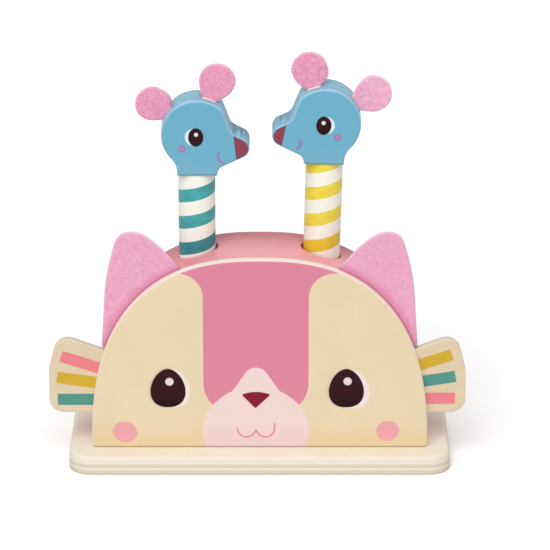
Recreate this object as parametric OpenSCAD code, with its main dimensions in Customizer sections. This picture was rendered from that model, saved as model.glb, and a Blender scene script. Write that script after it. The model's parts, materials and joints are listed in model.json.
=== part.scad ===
// Pop-up animal toy: a plywood cat with two sprung pegs that end in mouse heads.
// X runs left to right, Y from front to back, Z up. The origin is under the middle of the base board.

/* [Base board] */
// Width of the base board, left to right
base_w = 250; // [244:1:300]
// Depth of the base board, front to back
base_d = 104; // [98:1:130]
// Thickness of the base board
base_t = 12; // [9:0.5:20]
// Radius of the board's upright corners
base_corner_r = 15; // [6:0.5:20]
// Radius of the rounding round the board's top edge
base_edge_r = 3.5; // [1:0.5:5]
// How far the front panel stands back from the board's front edge
panel_setback = 18; // [8:0.5:20]

/* [Front panel] */
// Width of the arched front panel
panel_w = 220; // [212:1:226]
// Height of the front panel above the base board
panel_h = 130; // [126:1:140]
// Thickness of the front panel
panel_t = 7; // [5:0.5:10]
// Radius of the panel's two corners at the base board
panel_foot_r = 2.5; // [1:0.5:4]
// Squareness of the arch, where 2 is an ellipse and more is squarer
arch_power = 2.5; // [2.3:0.05:2.8]

/* [Housing] */
// Depth of the housing behind the front panel
housing_d = 61; // [57:0.5:64]
// How far the housing's outline stays inside the panel's outline
housing_inset = 1; // [0.5:0.1:2]
// Wall of the bent plywood cover
cover_t = 8; // [6:0.5:10]
// Thickness of the back board
back_t = 12; // [10:0.5:14]
// Radius of the rounded edge round the back board
back_edge_r = 9; // [3:0.5:9.5]

/* [Guide block] */
// Width of the block that guides both pegs
guide_w = 124; // [116:1:130]
// Height of the block's underside above the base board
guide_z = 84; // [78:1:90]

/* [Corner blocks] */
// Width of each block that joins the cover to the base board
corner_w = 22; // [16:1:26]
// Height of each corner block
corner_h = 20; // [16:1:21]

/* [Cat ears] */
// Thickness of the felt of the cat ears
cat_felt_t = 3.5; // [2:0.25:5]
// Where an ear's inner end leaves the arch, from the middle
cat_ear_in_x = 51; // [48:1:56]
// Where an ear's outer end leaves the arch, above the base board
cat_ear_low_z = 68; // [67.6:0.1:70]
// How far an ear's tip is from the middle
cat_ear_tip_x = 85; // [82:1:88]
// Height of an ear's tip above the base board
cat_ear_tip_z = 147; // [145:1:156]

/* [Side fins] */
// Thickness of the plywood of the fins
fin_t = 6; // [4:0.5:8]
// Distance from the middle to a fin's outer edge, as the mean of both fins
fin_reach = 136.3; // [132:0.1:145]
// How much further out the left fin reaches than that mean, and the right fin less far
fin_shift = 1.6; // [0:0.1:3]
// Height of a fin's bottom edge above the base board
fin_low_z = 22; // [21:0.5:24]
// Height of a fin's outer top corner above the base board
fin_high_z = 76.4; // [74:0.1:82]
// Slope of a fin's top edge in degrees
fin_slope = 20.5; // [18:0.5:24]
// Radius of a fin's outer corners
fin_corner_r = 9.5; // [4:0.5:10]

/* [Pegs] */
// Diameter of the dowel that each peg is cut from
peg_d = 24; // [20:0.5:24.5]
// Length of a peg between its foot and its mouse head
peg_len = 103.9; // [96:0.1:112]
// Distance from the middle of the toy to each guide bore
peg_x = 40; // [39:0.5:42]
// How far the left peg leans over to the outer side of its bore
left_shift = 0.8; // [0:0.1:0.9]
// Angle by which the right peg leans outward
right_lean = 1.5; // [0:0.1:1.6]
// How far the left mouse stands below its top stop
left_drop = 8.5; // [1:0.1:20]
// How far the right mouse stands below its top stop
right_drop = 0.9; // [0.9:0.1:20]
// Travel of the left mouse down from where it stands
press_travel = 40; // [30:1:40]

/* [Feet] */
// Diameter of the wooden foot that keeps a peg in the housing
foot_d = 32; // [30:0.5:34]
// Thickness of the foot
foot_t = 8; // [5:0.5:10]
// Thickness of the cap between the foot and the spring
cap_t = 3; // [2:0.5:4]
// Diameter of the cap and of the seat under the spring
seat_d = 30; // [26:0.5:32]
// Thickness of the seat under the spring
seat_t = 3; // [2:0.5:5]
// Height of the collars that centre the spring at both ends
collar_h = 4; // [2:0.5:6]

/* [Springs] */
// Outer diameter of a spring
spring_d = 22; // [20:0.5:24]
// Diameter of the spring wire
wire_d = 1.8; // [1.2:0.1:2]
// Turns of a spring, with one closed turn at each end
spring_turns = 9; // [7:1:11]
// Gap between the wires in the closed turns
closed_gap = 0.6; // [0.45:0.05:1]

/* [Mouse heads] */
// Thickness of the wooden slab of a head
head_t = 26; // [24:0.5:30]
// Radius of the back of the head
head_r = 23.2; // [21:0.1:24]
// Height of the middle of the head above its neck's end
head_mid_z = 27.3; // [24:0.1:29]
// How far the head sits forward of the peg's axis
head_forward = 0.6; // [0:0.1:1.5]
// Width of the neck
neck_w = 26; // [24.5:0.5:28]
// Radius of the nose end of the snout
snout_r = 6.7; // [5:0.1:7.5]
// Distance from the peg's axis to the tip of the snout
snout_reach = 34.4; // [31:0.1:38]
// Height of the middle of the nose above the neck's end
snout_z = 18.6; // [17:0.1:21]
// Slope of the chin in degrees
chin_slope = 25; // [20:1:30]
// Where the round crown turns into the forehead, in degrees up from the snout
forehead_from = 51.5; // [48:0.5:52]
// Radius of that turn
forehead_r = 7.3; // [6:0.1:10]
// Angle by which the straight forehead slopes from the upright
forehead_slope = 21; // [18:1:24]
// Slope of the snout's upper side in degrees
snout_slope = 27; // [22:1:30]
// Radius of the hollow between the forehead and the snout
brow_r = 6; // [3:0.5:8]
// Radius of the hollow at the back of the neck
nape_r = 13; // [6:0.5:14]
// Radius of the hollow at the throat
throat_r = 6; // [3:0.5:7]

/* [Mouse ears] */
// Thickness of the felt of the mouse ears
mouse_felt_t = 3.5; // [2:0.25:5]
// Radius of a felt ear
mouse_ear_r = 11.5; // [10:0.1:12.3]
// Distance from the middle of the head to the middle of an ear
mouse_ear_reach = 34.9; // [34.5:0.1:36]
// Direction of the top ear, in degrees up from the snout
top_ear_angle = 70; // [64:1:76]
// Direction of the rear ear, in degrees up from the snout
rear_ear_angle = 149.5; // [140:0.5:152]
// Width of an ear where it enters the head
ear_tab_w = 12; // [11.5:0.5:14]
// Depth of the saw cut that takes the tab
ear_slot_depth = 9; // [6:0.5:11]

/* [Fasteners] */
// Diameter of the pin between a peg and its head
pin_d = 8; // [6:0.5:10]
// Length of the pin between a peg and its head
pin_len = 26; // [20:1:30]
// Diameter of the wood screws
screw_d = 3.5; // [3:0.1:4]
// Diameter of the countersunk screw heads
screw_head_d = 7; // [6:0.1:8]
// Length of the countersunk screws
screw_len = 26; // [24:1:28]
// Diameter of the pan head on which the spring cap turns
pivot_d = 9; // [7:0.5:10]
// Length of the screw that holds a foot to its peg
foot_screw_len = 26; // [20:1:30]
// Diameter of the pins between the front panel and the base board
panel_pin_d = 4; // [3:0.5:4.5]
// Length of the pins between the front panel and the base board
panel_pin_len = 16; // [10:1:17]

/* [Fits] */
// Radial clearance of a peg in its guide bore
peg_gap = 1.25; // [1.2:0.05:1.6]
// Running clearance between parts that turn against each other
turn_gap = 0.3; // [0.2:0.05:0.5]
// Clearance round glued wood and felt
glue_gap = 0.2; // [0.05:0.05:0.4]
// Clearance between a felt ear and each face of its saw cut
slot_gap = 0.7; // [0.2:0.1:0.9]
// Clearance between a felt ear and each end of its saw cut
slot_end_gap = 1; // [0.2:0.1:1.1]
// Radial clearance of a collar inside its spring
collar_gap = 1; // [0.9:0.05:1.5]
// Clearance at glued and screwed holes
hole_gap = 0.05; // [0.02:0.01:0.1]
// Clearance of a screw in the base board
screw_gap = 0.5; // [0.2:0.1:0.8]

/* [Hidden] */

ply = "#ead9b9";
wood = "#e2c79c";
salmon = "#eaa8ad";
cat_felt = "#eeb0ca";
mouse_felt = "#e59cba";
mouse_blue = "#79b4cc";
teal = "#489fa2";
yellow = "#e9d251";
steel = "#b4b6b8";

eps = 1;                        // how far a cut runs past the solid that it cuts
arch_steps = 90;                // straight stretches in an arch
arc_steps = 10;                 // straight stretches in a rounded corner
edge_steps = 6;                 // stretches across a rounded edge
wire_sides = 6;                 // sides of the spring wire
rings_per_turn = 8;             // rings of points in one turn of a spring
$fn = 64;

panel_y = -base_d / 2 + panel_setback;              // front face of the front panel
housing_y = panel_y + panel_t;                      // where the housing starts
housing_end_y = housing_y + housing_d;              // rear face of the back board
back_y = housing_end_y - back_t;                    // front face of the back board
peg_y = (housing_y + housing_end_y) / 2;            // the pegs stand in mid depth
outer_half_w = panel_w / 2 - housing_inset;
outer_h = panel_h - housing_inset;
inner_half_w = outer_half_w - cover_t;
inner_h = outer_h - cover_t;

stop_z = base_t + guide_z;                          // underside of the guide block
bore_d = peg_d + 2 * peg_gap;
collar_d = spring_d - 2 * wire_d - 2 * collar_gap;   // fits loosely inside the spring
cap_hole_d = pivot_d + 2 * turn_gap;
foot_to_spring = foot_t + turn_gap + cap_t + turn_gap;
spring_low_z = base_t + seat_t + hole_gap;
lean_z = stop_z + (outer_h - guide_z) / 2;          // height about which the right peg leans
head_z = peg_len;                                   // the neck's end, above the foot

fin_side_drop = 24;                                 // length of the fin's slanted outer stretch
fin_side_in = 6.5;                                  // how far that stretch leans inward
fin_side_r = 30;

ear_root_z = panel_h - 9;                           // a cat ear's inner side ends here, inside the arch
ear_slope_w = 21;                                   // from the tip back to the end of the inner slope
ear_slope_drop = 9.8;                               // height of the tip over that end
ear_top_w = 7;                                      // the flat top reaches this far in from the tip
ear_tip_w = 6.5;                                    // and its outer corner this far out
ear_tip_drop = 0.7;
ear_flank_w = 14.5;                                 // the outer side at its bend, from the tip
ear_flank_drop = 29;
ear_foot_w = 18;                                    // the outer side at its lower end, from the tip
ear_shoulder_r = 30;
ear_top_r = 12;
ear_round_r = 8;                                    // rounding of a cat ear's tip
ear_flank_r = 80;

screw_x = panel_w / 2 - housing_inset - cover_t - corner_w / 2;
screw_pairs = [[-screw_x, -1], [-screw_x, 1], [screw_x, -1], [screw_x, 1]];
screw_spread = 14;                                  // corner screws stand this far from mid depth
panel_pin_x = 70;
screw_tip = 3;                                      // length of a screw's pointed end
countersink_h = (screw_head_d - screw_d) / 2;

// Point of a superellipse arch at angle t, for half width a and height b
function arch_point(a, b, t) = [
    a * sign(cos(t)) * pow(abs(cos(t)), 2 / arch_power),
    b * pow(abs(sin(t)), 2 / arch_power)
];

// Outline of an arch that stands on its base line
function arch(a, b) = [for (i = [0:arch_steps]) arch_point(a, b, 180 * i / arch_steps)];

// Points of an arc about c
function arc(c, r, from, to, steps) = [
    for (i = [0:steps]) c + r * [cos(from + (to - from) * i / steps), sin(from + (to - from) * i / steps)]
];

function unit(v) = v / norm(v);
function wrap(a) = a > 180 ? a - 360 : a < -180 ? a + 360 : a;

// The corner at b between a and c, rounded to radius r
function rounded_corner(a, b, c, r) =
    r == 0 ? [b] :
    let (
        u = unit(a - b),
        v = unit(c - b),
        half = acos(u * v) / 2,
        middle = b + unit(u + v) * r / sin(half),
        p = b + u * r / tan(half) - middle,
        q = b + v * r / tan(half) - middle,
        from = atan2(p[1], p[0]),
        turn = wrap(atan2(q[1], q[0]) - from)
    )
    arc(middle, r, from, from + turn, arc_steps);

// Closed outline through corners [x, z, radius]
function rounded_outline(c) = [
    for (i = [0:len(c) - 1])
        let (
            a = c[(i + len(c) - 1) % len(c)],
            b = c[i],
            d = c[(i + 1) % len(c)]
        )
        each rounded_corner([a[0], a[1]], [b[0], b[1]], [d[0], d[1]], b[2])
];

// Steps [depth, inset] over an edge of radius r that ends at depth t
function rounded_levels(t, r) = [
    for (i = [0:edge_steps])
        [t - r + r * sin(90 * i / edge_steps), r * (1 - cos(90 * i / edge_steps))]
];

// A solid through a stack of rings of 3D points, each drawn anticlockwise as seen from the last ring
module loft(rings) {
    n = len(rings[0]);
    last = (len(rings) - 1) * n;
    sides = [
        for (k = [0:len(rings) - 2], i = [0:n - 1])
            let (a = k * n + i, b = k * n + (i + 1) % n)
            each [[a, a + n, b], [b, a + n, b + n]]
    ];
    ends = [
        [for (i = [0:n - 1]) i],
        [for (i = [n - 1:-1:0]) last + i]
    ];
    polyhedron([for (ring = rings) each ring], concat(sides, ends));
}

// A flat piece cut to a 2D outline in X and Z, with its front face at y and thickness t
module cut_plate(y, t) {
    translate([0, y + t, base_t])
        rotate([90, 0, 0])
            linear_extrude(t)
                children();
}

// Where a mouse stands: side -1 is the left one, which is upright, and 1 the right one, which leans
module stand(side) {
    if (side < 0)
        translate([-peg_x - left_shift, peg_y, 0])
            children();
    else
        translate([peg_x, peg_y, lean_z])
            rotate([0, right_lean, 0])
                translate([0, 0, -lean_z])
                    mirror([1, 0, 0])
                        children();
}

// Lifts what is drawn from a foot's top upward to its height on that side
function drop(side) = side < 0 ? left_drop : right_drop;
module on_foot(side) {
    stand(side)
        translate([0, 0, stop_z - drop(side)])
            children();
}

// Both guide bores, as the drill leaves them
module guide_bores() {
    for (side = [-1, 1])
        translate([side * peg_x, peg_y, stop_z - eps])
            cylinder(d = bore_d, h = outer_h - guide_z + 2 * eps);
}

// One countersunk screw, with its head down at z = 0
module wood_screw(clear) {
    cylinder(d1 = screw_head_d + 2 * clear, d2 = screw_d + 2 * clear, h = countersink_h);
    cylinder(d = screw_d + 2 * clear, h = screw_len - screw_tip);
    translate([0, 0, screw_len - screw_tip])
        cylinder(d1 = screw_d + 2 * clear, d2 = screw_d / 3, h = screw_tip);
}

module at_corner_screws() {
    for (p = screw_pairs)
        translate([p[0], peg_y + p[1] * screw_spread, 0])
            children();
}

module at_seat_screws() {
    for (side = [-1, 1])
        translate([side * peg_x, peg_y, 0])
            children();
}

module at_panel_pins() {
    for (side = [-1, 1])
        translate([side * panel_pin_x, panel_y + panel_t / 2, base_t - panel_pin_len / 2])
            children();
}

// ---- Base and housing ----

// Outline of the base board, drawn in by the given distance
function base_outline(in) =
    let (
        x = base_w / 2 - in,
        y = base_d / 2 - in,
        r = base_corner_r - in
    )
    rounded_outline([[-x, -y, r], [x, -y, r], [x, y, r], [-x, y, r]]);

module base_board() {
    levels = concat([[0, 0]], rounded_levels(base_t, base_edge_r));
    color(ply) difference() {
        loft([for (level = levels) [for (p = base_outline(level[1])) [p[0], p[1], level[0]]]]);
        at_corner_screws()
            base_screw_hole();
        at_seat_screws()
            base_screw_hole();
        at_panel_pins()
            cylinder(d = panel_pin_d + 2 * hole_gap, h = panel_pin_len);
    }
}

// Shank hole and countersink in the base board
module base_screw_hole() {
    translate([0, 0, -eps])
        cylinder(d = screw_d + screw_gap, h = base_t + 2 * eps);
    translate([0, 0, -eps])
        cylinder(d = screw_head_d + screw_gap, h = eps + screw_gap / 2);
    translate([0, 0, screw_gap / 2])
        cylinder(d1 = screw_head_d + screw_gap, d2 = screw_d + screw_gap, h = countersink_h);
}

// The panel's arch with its two lower corners rounded
function panel_outline() =
    let (
        p = arch(panel_w / 2, panel_h),
        n = arch_steps
    )
    concat(
        rounded_corner(p[n], p[0], p[1], panel_foot_r),
        [for (i = [1:n - 1]) p[i]],
        rounded_corner(p[n - 1], p[n], p[0], panel_foot_r)
    );

module front_panel() {
    color(ply) difference() {
        cut_plate(panel_y, panel_t)
            polygon(panel_outline());
        at_panel_pins()
            cylinder(d = panel_pin_d + 2 * hole_gap, h = panel_pin_len);
    }
}

// The back board is a stack of arches that draw in towards its rear face
module back_board() {
    levels = concat([[0, 0]], rounded_levels(back_t, back_edge_r));
    color(salmon)
        loft([
            for (level = levels)
                let (y = back_y + level[0])
                [for (p = arch(outer_half_w - level[1], outer_h - level[1])) [-p[0], y, base_t + p[1]]]
        ]);
}

// Right-hand outline of a cat ear, from the arch up to the tip, grown by g
function cat_ear_outline(g) = rounded_outline([
    [cat_ear_in_x - 2 * g, cat_ear_low_z - g, 0],
    [cat_ear_in_x - 2 * g, ear_root_z, 0],
    [cat_ear_tip_x - ear_slope_w, cat_ear_tip_z - ear_slope_drop + g, ear_shoulder_r],
    [cat_ear_tip_x - ear_top_w, cat_ear_tip_z + g, ear_top_r],
    [cat_ear_tip_x + ear_tip_w + g, cat_ear_tip_z - ear_tip_drop + g, ear_round_r],
    [cat_ear_tip_x + ear_flank_w + g, cat_ear_tip_z - ear_flank_drop, ear_flank_r],
    [cat_ear_tip_x + ear_foot_w + g, cat_ear_low_z - g, 0]
]);

// Outline of the fin on one side, drawn as a right-hand one and grown by g
function fin_outline(side, g) =
    let (
        reach = fin_reach - side * fin_shift,
        root = reach / 2
    )
    rounded_outline([
        [root, fin_low_z - g, 0],
        [root, fin_high_z + g - (reach - fin_side_in - root) * tan(fin_slope), 0],
        [reach - fin_side_in + g, fin_high_z + g, fin_corner_r],
        [reach + g, fin_high_z - fin_side_drop, fin_side_r],
        [reach + g, fin_low_z - g, fin_corner_r]
    ]);

// The ears and fins end in tabs that fill the notches in the cover
module beyond_cover() {
    difference() {
        children();
        polygon(arch(inner_half_w, inner_h));
    }
}

module arch_cover() {
    color(salmon) difference() {
        cut_plate(housing_y, housing_d - back_t)
            beyond_cover()
                polygon(arch(outer_half_w, outer_h));
        for (side = [-1, 1])
            mirror([side < 0 ? 1 : 0, 0, 0]) {
                cut_plate(housing_y - eps, cat_felt_t + hole_gap + eps)
                    polygon(cat_ear_outline(glue_gap));
                cut_plate(housing_y - eps, fin_t + hole_gap + eps)
                    polygon(fin_outline(side, glue_gap));
            }
        guide_bores();
    }
}

module guide_block() {
    color(wood) difference() {
        cut_plate(housing_y, housing_d - back_t)
            intersection() {
                polygon(arch(inner_half_w, inner_h));
                translate([-guide_w / 2, guide_z])
                    square([guide_w, inner_h - guide_z]);
            }
        guide_bores();
    }
}

module corner_block() {
    difference() {
        cut_plate(housing_y, housing_d - back_t)
            intersection() {
                polygon(arch(inner_half_w, inner_h));
                translate([inner_half_w - corner_w, 0])
                    square([corner_w, corner_h]);
            }
        at_corner_screws()
            translate([0, 0, screw_gap / 2])
                wood_screw(hole_gap);
    }
}

module left_corner_block() {
    color(wood)
        mirror([1, 0, 0])
            corner_block();
}

module right_corner_block() {
    color(wood)
        corner_block();
}

module cat_ear() {
    color(cat_felt)
        cut_plate(housing_y, cat_felt_t)
            beyond_cover()
                polygon(cat_ear_outline(0));
}

module left_cat_ear() {
    mirror([1, 0, 0])
        cat_ear();
}

module right_cat_ear() {
    cat_ear();
}

module fin(side) {
    color(ply)
        cut_plate(housing_y, fin_t)
            beyond_cover()
                polygon(fin_outline(side, 0));
}

module left_fin() {
    mirror([1, 0, 0])
        fin(-1);
}

module right_fin() {
    fin(1);
}

module panel_pins() {
    color(wood)
        at_panel_pins()
            translate([0, 0, hole_gap])
                cylinder(d = panel_pin_d, h = panel_pin_len - 2 * hole_gap);
}

module base_screws() {
    color(steel) {
        at_corner_screws()
            translate([0, 0, screw_gap / 2])
                wood_screw(0);
        at_seat_screws()
            translate([0, 0, screw_gap / 2])
                seat_screw(0);
    }
}

// The shorter screw under a spring seat, which ends inside the seat's collar
module seat_screw(clear) {
    long = base_t + seat_t + collar_h - screw_tip;
    cylinder(d1 = screw_head_d + 2 * clear, d2 = screw_d + 2 * clear, h = countersink_h);
    cylinder(d = screw_d + 2 * clear, h = long - screw_tip);
    translate([0, 0, long - screw_tip])
        cylinder(d1 = screw_d + 2 * clear, d2 = screw_d / 3, h = screw_tip);
}

// ---- Springs and their seats ----

module spring_seat(side) {
    color(wood)
        difference() {
            translate([side * peg_x, peg_y, base_t])
                union() {
                    cylinder(d = seat_d, h = seat_t);
                    cylinder(d = collar_d, h = seat_t + collar_h);
                }
            at_seat_screws()
                translate([0, 0, screw_gap / 2])
                    seat_screw(hole_gap);
        }
}

module left_spring_seat() {
    spring_seat(-1);
}

module right_spring_seat() {
    spring_seat(1);
}

// Lowest point of a spring cap's underside, which dips where the right one leans
function cap_low_z(side) =
    stop_z - drop(side) - foot_to_spring + turn_gap - (side > 0 ? sin(right_lean) * seat_d / 2 : 0);

// Height of the wire's middle after u turns, with a closed turn at each end
function wire_z(u, long) =
    let (
        closed = wire_d + closed_gap,
        open = (long - wire_d - 2 * closed) / (spring_turns - 2)
    )
    wire_d / 2 + (u < 1 ? u * closed
        : u > spring_turns - 1 ? long - wire_d - (spring_turns - u) * closed
        : closed + (u - 1) * open);

// Middle of the wire after u turns, run straight on for one wire's width past both ends
function wire_middle(u, long) =
    let (
        r = (spring_d - wire_d) / 2,
        v = max(0, min(spring_turns, u)),
        past = (u - v) * 2 * PI * r,
        a = 360 * v
    )
    [r * cos(a) - past * sin(a), r * sin(a) + past * cos(a), wire_z(v, long)];

// A spring of the given length, standing on z = 0
module spring(long) {
    tail = wire_d / (PI * (spring_d - wire_d));
    turns = concat(
        [-tail],
        [for (i = [0:spring_turns * rings_per_turn]) i / rings_per_turn],
        [spring_turns + tail]
    );
    rings = [for (u = turns) wire_ring(u, long)];
    n = wire_sides;
    last = (len(turns) - 1) * n;
    sides = [
        for (k = [0:len(turns) - 2], i = [0:n - 1])
            let (a = k * n + i, b = k * n + (i + 1) % n)
            each [[a, b, a + n], [b, b + n, a + n]]
    ];
    ends = [
        for (i = [1:n - 2])
            each [[0, i + 1, i], [last, last + i, last + i + 1]]
    ];
    polyhedron([for (ring = rings) each ring], concat(sides, ends));
    middles = [for (u = turns) wire_middle(u, long)];
    gaps = [
        for (i = [0:len(middles) - 1], j = [i + rings_per_turn / 2:1:len(middles) - 1])
            norm(middles[i] - middles[j]) - wire_d
    ];
    echo(least_gap_between_wires = min(gaps));
}

// The ring of points round the wire after u turns, square to the wire
function wire_ring(u, long) =
    let (
        v = max(0, min(spring_turns, u)),
        step = 0.02,
        along = unit(wire_middle(min(spring_turns, v + step), long) - wire_middle(max(0, v - step), long)),
        out = [cos(360 * v), sin(360 * v), 0],
        up = cross(out, along)
    )
    [for (i = [0:wire_sides - 1])
        let (a = 360 * i / wire_sides)
        wire_middle(u, long) + wire_d / 2 * (cos(a) * out + sin(a) * up)];

module left_spring() {
    color(steel)
        translate([-peg_x, peg_y, spring_low_z])
            spring(cap_low_z(-1) - turn_gap - spring_low_z);
}

module right_spring() {
    color(steel)
        translate([peg_x, peg_y, spring_low_z])
            spring(cap_low_z(1) - turn_gap - spring_low_z);
}

// ---- Pegs ----

// Ring between the foot and the spring, which turns on the head of the foot's screw
module spring_cap(side) {
    color(wood)
        on_foot(side)
            translate([0, 0, -foot_t - turn_gap - cap_t])
                difference() {
                    cylinder(d = seat_d, h = cap_t);
                    translate([0, 0, -eps])
                        cylinder(d = cap_hole_d, h = cap_t + 2 * eps);
                }
}

module left_spring_cap() {
    spring_cap(-1);
}

module right_spring_cap() {
    spring_cap(1);
}

module foot(side) {
    color(wood)
        on_foot(side)
            translate([0, 0, -foot_t])
                difference() {
                    cylinder(d = foot_d, h = foot_t);
                    translate([0, 0, -eps])
                        cylinder(d = screw_d + 2 * hole_gap, h = foot_t + 2 * eps);
                }
}

module left_foot() {
    foot(-1);
}

module right_foot() {
    foot(1);
}

// Pan-head screw up through the foot into the peg
module foot_screw(side) {
    color(steel)
        on_foot(side)
            translate([0, 0, -foot_t]) {
                translate([0, 0, -cap_t])
                    cylinder(d = pivot_d, h = cap_t);
                cylinder(d = screw_d, h = foot_screw_len);
            }
}

module left_foot_screw() {
    foot_screw(-1);
}

module right_foot_screw() {
    foot_screw(1);
}

module peg(side, tint) {
    color(tint)
        on_foot(side)
            difference() {
                cylinder(d = peg_d, h = peg_len);
                translate([0, 0, peg_len - pin_len / 2 - hole_gap])
                    cylinder(d = pin_d + 2 * hole_gap, h = pin_len);
                translate([0, 0, -eps])
                    cylinder(d = screw_d + 2 * hole_gap, h = eps + foot_screw_len - foot_t + hole_gap);
            }
}

module left_peg() {
    peg(-1, teal);
}

module right_peg() {
    peg(1, yellow);
}

module neck_pin(side) {
    color(wood)
        on_foot(side)
            translate([0, 0, head_z - pin_len / 2])
                cylinder(d = pin_d, h = pin_len);
}

module left_neck_pin() {
    neck_pin(-1);
}

module right_neck_pin() {
    neck_pin(1);
}

// ---- Mouse heads ----

// Side view of a head, with the snout towards +X and the neck's end on the X axis
function head_outline() =
    let (
        mid = [head_forward, head_mid_z],
        nose = [snout_reach - snout_r, snout_z],
        front = head_forward + neck_w / 2,
        back = head_forward - neck_w / 2,
        // the crown tightens into a straight forehead, which meets the snout's straight upper side
        turn = mid + (head_r - forehead_r) * [cos(forehead_from), sin(forehead_from)],
        forehead = turn + forehead_r * [cos(forehead_slope), sin(forehead_slope)],
        snout = nose + snout_r * [sin(snout_slope), cos(snout_slope)],
        fall = (forehead - snout) * [sin(snout_slope), cos(snout_slope)] / cos(forehead_slope + snout_slope),
        brow = forehead + fall * [sin(forehead_slope), -cos(forehead_slope)],
        // the nape's hollow touches the neck and the round head
        nape_dx = -neck_w / 2 - nape_r,
        nape_dz = -sqrt(pow(head_r + nape_r, 2) - nape_dx * nape_dx),
        nape = mid + [nape_dx, nape_dz],
        at_nape = 360 + atan2(nape_dz, nape_dx),
        // the chin runs straight back from the nose end to the throat
        chin = nose + snout_r * [sin(chin_slope), -cos(chin_slope)],
        throat = [front, chin[1] - (chin[0] - front) * tan(chin_slope)]
    )
    concat(
        [[front, 0]],
        rounded_corner([front, 0], throat, chin, throat_r),
        arc(nose, snout_r, chin_slope - 90, 90 - snout_slope, arc_steps),
        rounded_corner(snout, brow, forehead, brow_r),
        arc(turn, forehead_r, forehead_slope, forehead_from, arc_steps),
        arc(mid, head_r, forehead_from + 3, at_nape, 3 * arc_steps),
        arc(nape, nape_r, at_nape - 180, 0, arc_steps),
        [[back, 0]]
    );

// Places an ear's own drawing, with the ear's middle at the origin and its tab pointing down
module at_mouse_ear(angle) {
    translate([head_forward, head_mid_z])
        rotate(angle - 90)
            translate([0, mouse_ear_reach])
                children();
}

// An extruded outline centred on the middle of the slab
module slab(t) {
    translate([0, t / 2, head_z])
        rotate([90, 0, 0])
            linear_extrude(t)
                children();
}

module ear_slot(angle) {
    slab(mouse_felt_t + 2 * slot_gap)
        at_mouse_ear(angle)
            translate([-ear_tab_w / 2 - slot_end_gap, head_r - mouse_ear_reach - ear_slot_depth])
                square([ear_tab_w + 2 * slot_end_gap, ear_slot_depth + mouse_ear_r]);
}

// A round ear whose sides run straight from the circle to the corners of its tab
function mouse_ear_outline() =
    let (
        half = ear_tab_w / 2,
        mouth = mouse_ear_reach - sqrt(head_r * head_r - pow(half + slot_end_gap, 2)),
        tab = mouse_ear_reach - head_r + ear_slot_depth - glue_gap,
        touch = atan2(half, mouth) + acos(mouse_ear_r / norm([half, mouth]))
    )
    concat(
        [[half, -tab], [half, -mouth]],
        arc([0, 0], mouse_ear_r, touch - 90, 270 - touch, 6 * arc_steps),
        [[-half, -mouth], [-half, -tab]]
    );

module head(side) {
    color(mouse_blue)
        on_foot(side)
            difference() {
                slab(head_t)
                    polygon(head_outline());
                ear_slot(top_ear_angle);
                ear_slot(rear_ear_angle);
                translate([0, 0, head_z - pin_len / 2])
                    cylinder(d = pin_d + 2 * hole_gap, h = pin_len + hole_gap);
            }
}

module left_head() {
    head(-1);
}

module right_head() {
    head(1);
}

module mouse_ear(side, angle) {
    color(mouse_felt)
        on_foot(side)
            slab(mouse_felt_t)
                at_mouse_ear(angle)
                    polygon(mouse_ear_outline());
}

module left_top_ear() {
    mouse_ear(-1, top_ear_angle);
}

module right_top_ear() {
    mouse_ear(1, top_ear_angle);
}

module left_rear_ear() {
    mouse_ear(-1, rear_ear_angle);
}

module right_rear_ear() {
    mouse_ear(1, rear_ear_angle);
}

base_board();
front_panel();
back_board();
arch_cover();
guide_block();
left_corner_block();
right_corner_block();
left_cat_ear();
right_cat_ear();
left_fin();
right_fin();
panel_pins();
base_screws();
left_spring_seat();
right_spring_seat();
left_spring();
right_spring();
left_spring_cap();
right_spring_cap();
left_foot();
right_foot();
left_foot_screw();
right_foot_screw();
left_peg();
right_peg();
left_neck_pin();
right_neck_pin();
left_head();
right_head();
left_top_ear();
right_top_ear();
left_rear_ear();
right_rear_ear();
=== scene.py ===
import json
import math

import bpy
import numpy as np
from mathutils.geometry import tessellate_polygon
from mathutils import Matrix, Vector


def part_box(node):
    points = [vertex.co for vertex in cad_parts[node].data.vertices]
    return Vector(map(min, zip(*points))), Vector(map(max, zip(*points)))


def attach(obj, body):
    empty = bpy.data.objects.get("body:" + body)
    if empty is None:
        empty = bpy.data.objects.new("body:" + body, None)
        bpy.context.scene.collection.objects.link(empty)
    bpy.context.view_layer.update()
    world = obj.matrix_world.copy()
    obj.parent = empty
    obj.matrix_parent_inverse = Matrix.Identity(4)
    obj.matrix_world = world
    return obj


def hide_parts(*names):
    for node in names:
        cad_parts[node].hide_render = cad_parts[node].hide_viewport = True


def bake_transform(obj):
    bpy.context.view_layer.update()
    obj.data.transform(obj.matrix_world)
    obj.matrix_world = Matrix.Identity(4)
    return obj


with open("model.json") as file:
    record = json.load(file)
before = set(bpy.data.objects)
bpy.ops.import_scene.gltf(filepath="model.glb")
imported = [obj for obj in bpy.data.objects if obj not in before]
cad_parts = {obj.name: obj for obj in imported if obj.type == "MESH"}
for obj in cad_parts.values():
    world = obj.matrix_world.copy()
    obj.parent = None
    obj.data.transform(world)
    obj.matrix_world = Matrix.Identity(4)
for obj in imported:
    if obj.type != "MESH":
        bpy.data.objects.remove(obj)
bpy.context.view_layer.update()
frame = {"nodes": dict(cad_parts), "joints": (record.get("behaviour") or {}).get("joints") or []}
nodes = frame["nodes"]
joints = {joint["name"]: joint for joint in frame["joints"]}
mm = 0.001
print("frame loaded:", len(nodes), "nodes")


def boxOf(node):
    # lowest and highest corners of a frame node, in millimetres
    low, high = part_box(node)
    return np.array(low) / mm, np.array(high) / mm


boardLow, boardHigh = boxOf("base_board")
panelLow, panelHigh = boxOf("front_panel")
backHigh = boxOf("back_board")[1]
boardTop = boardHigh[2]
east, north, skyward = np.eye(3)

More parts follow.
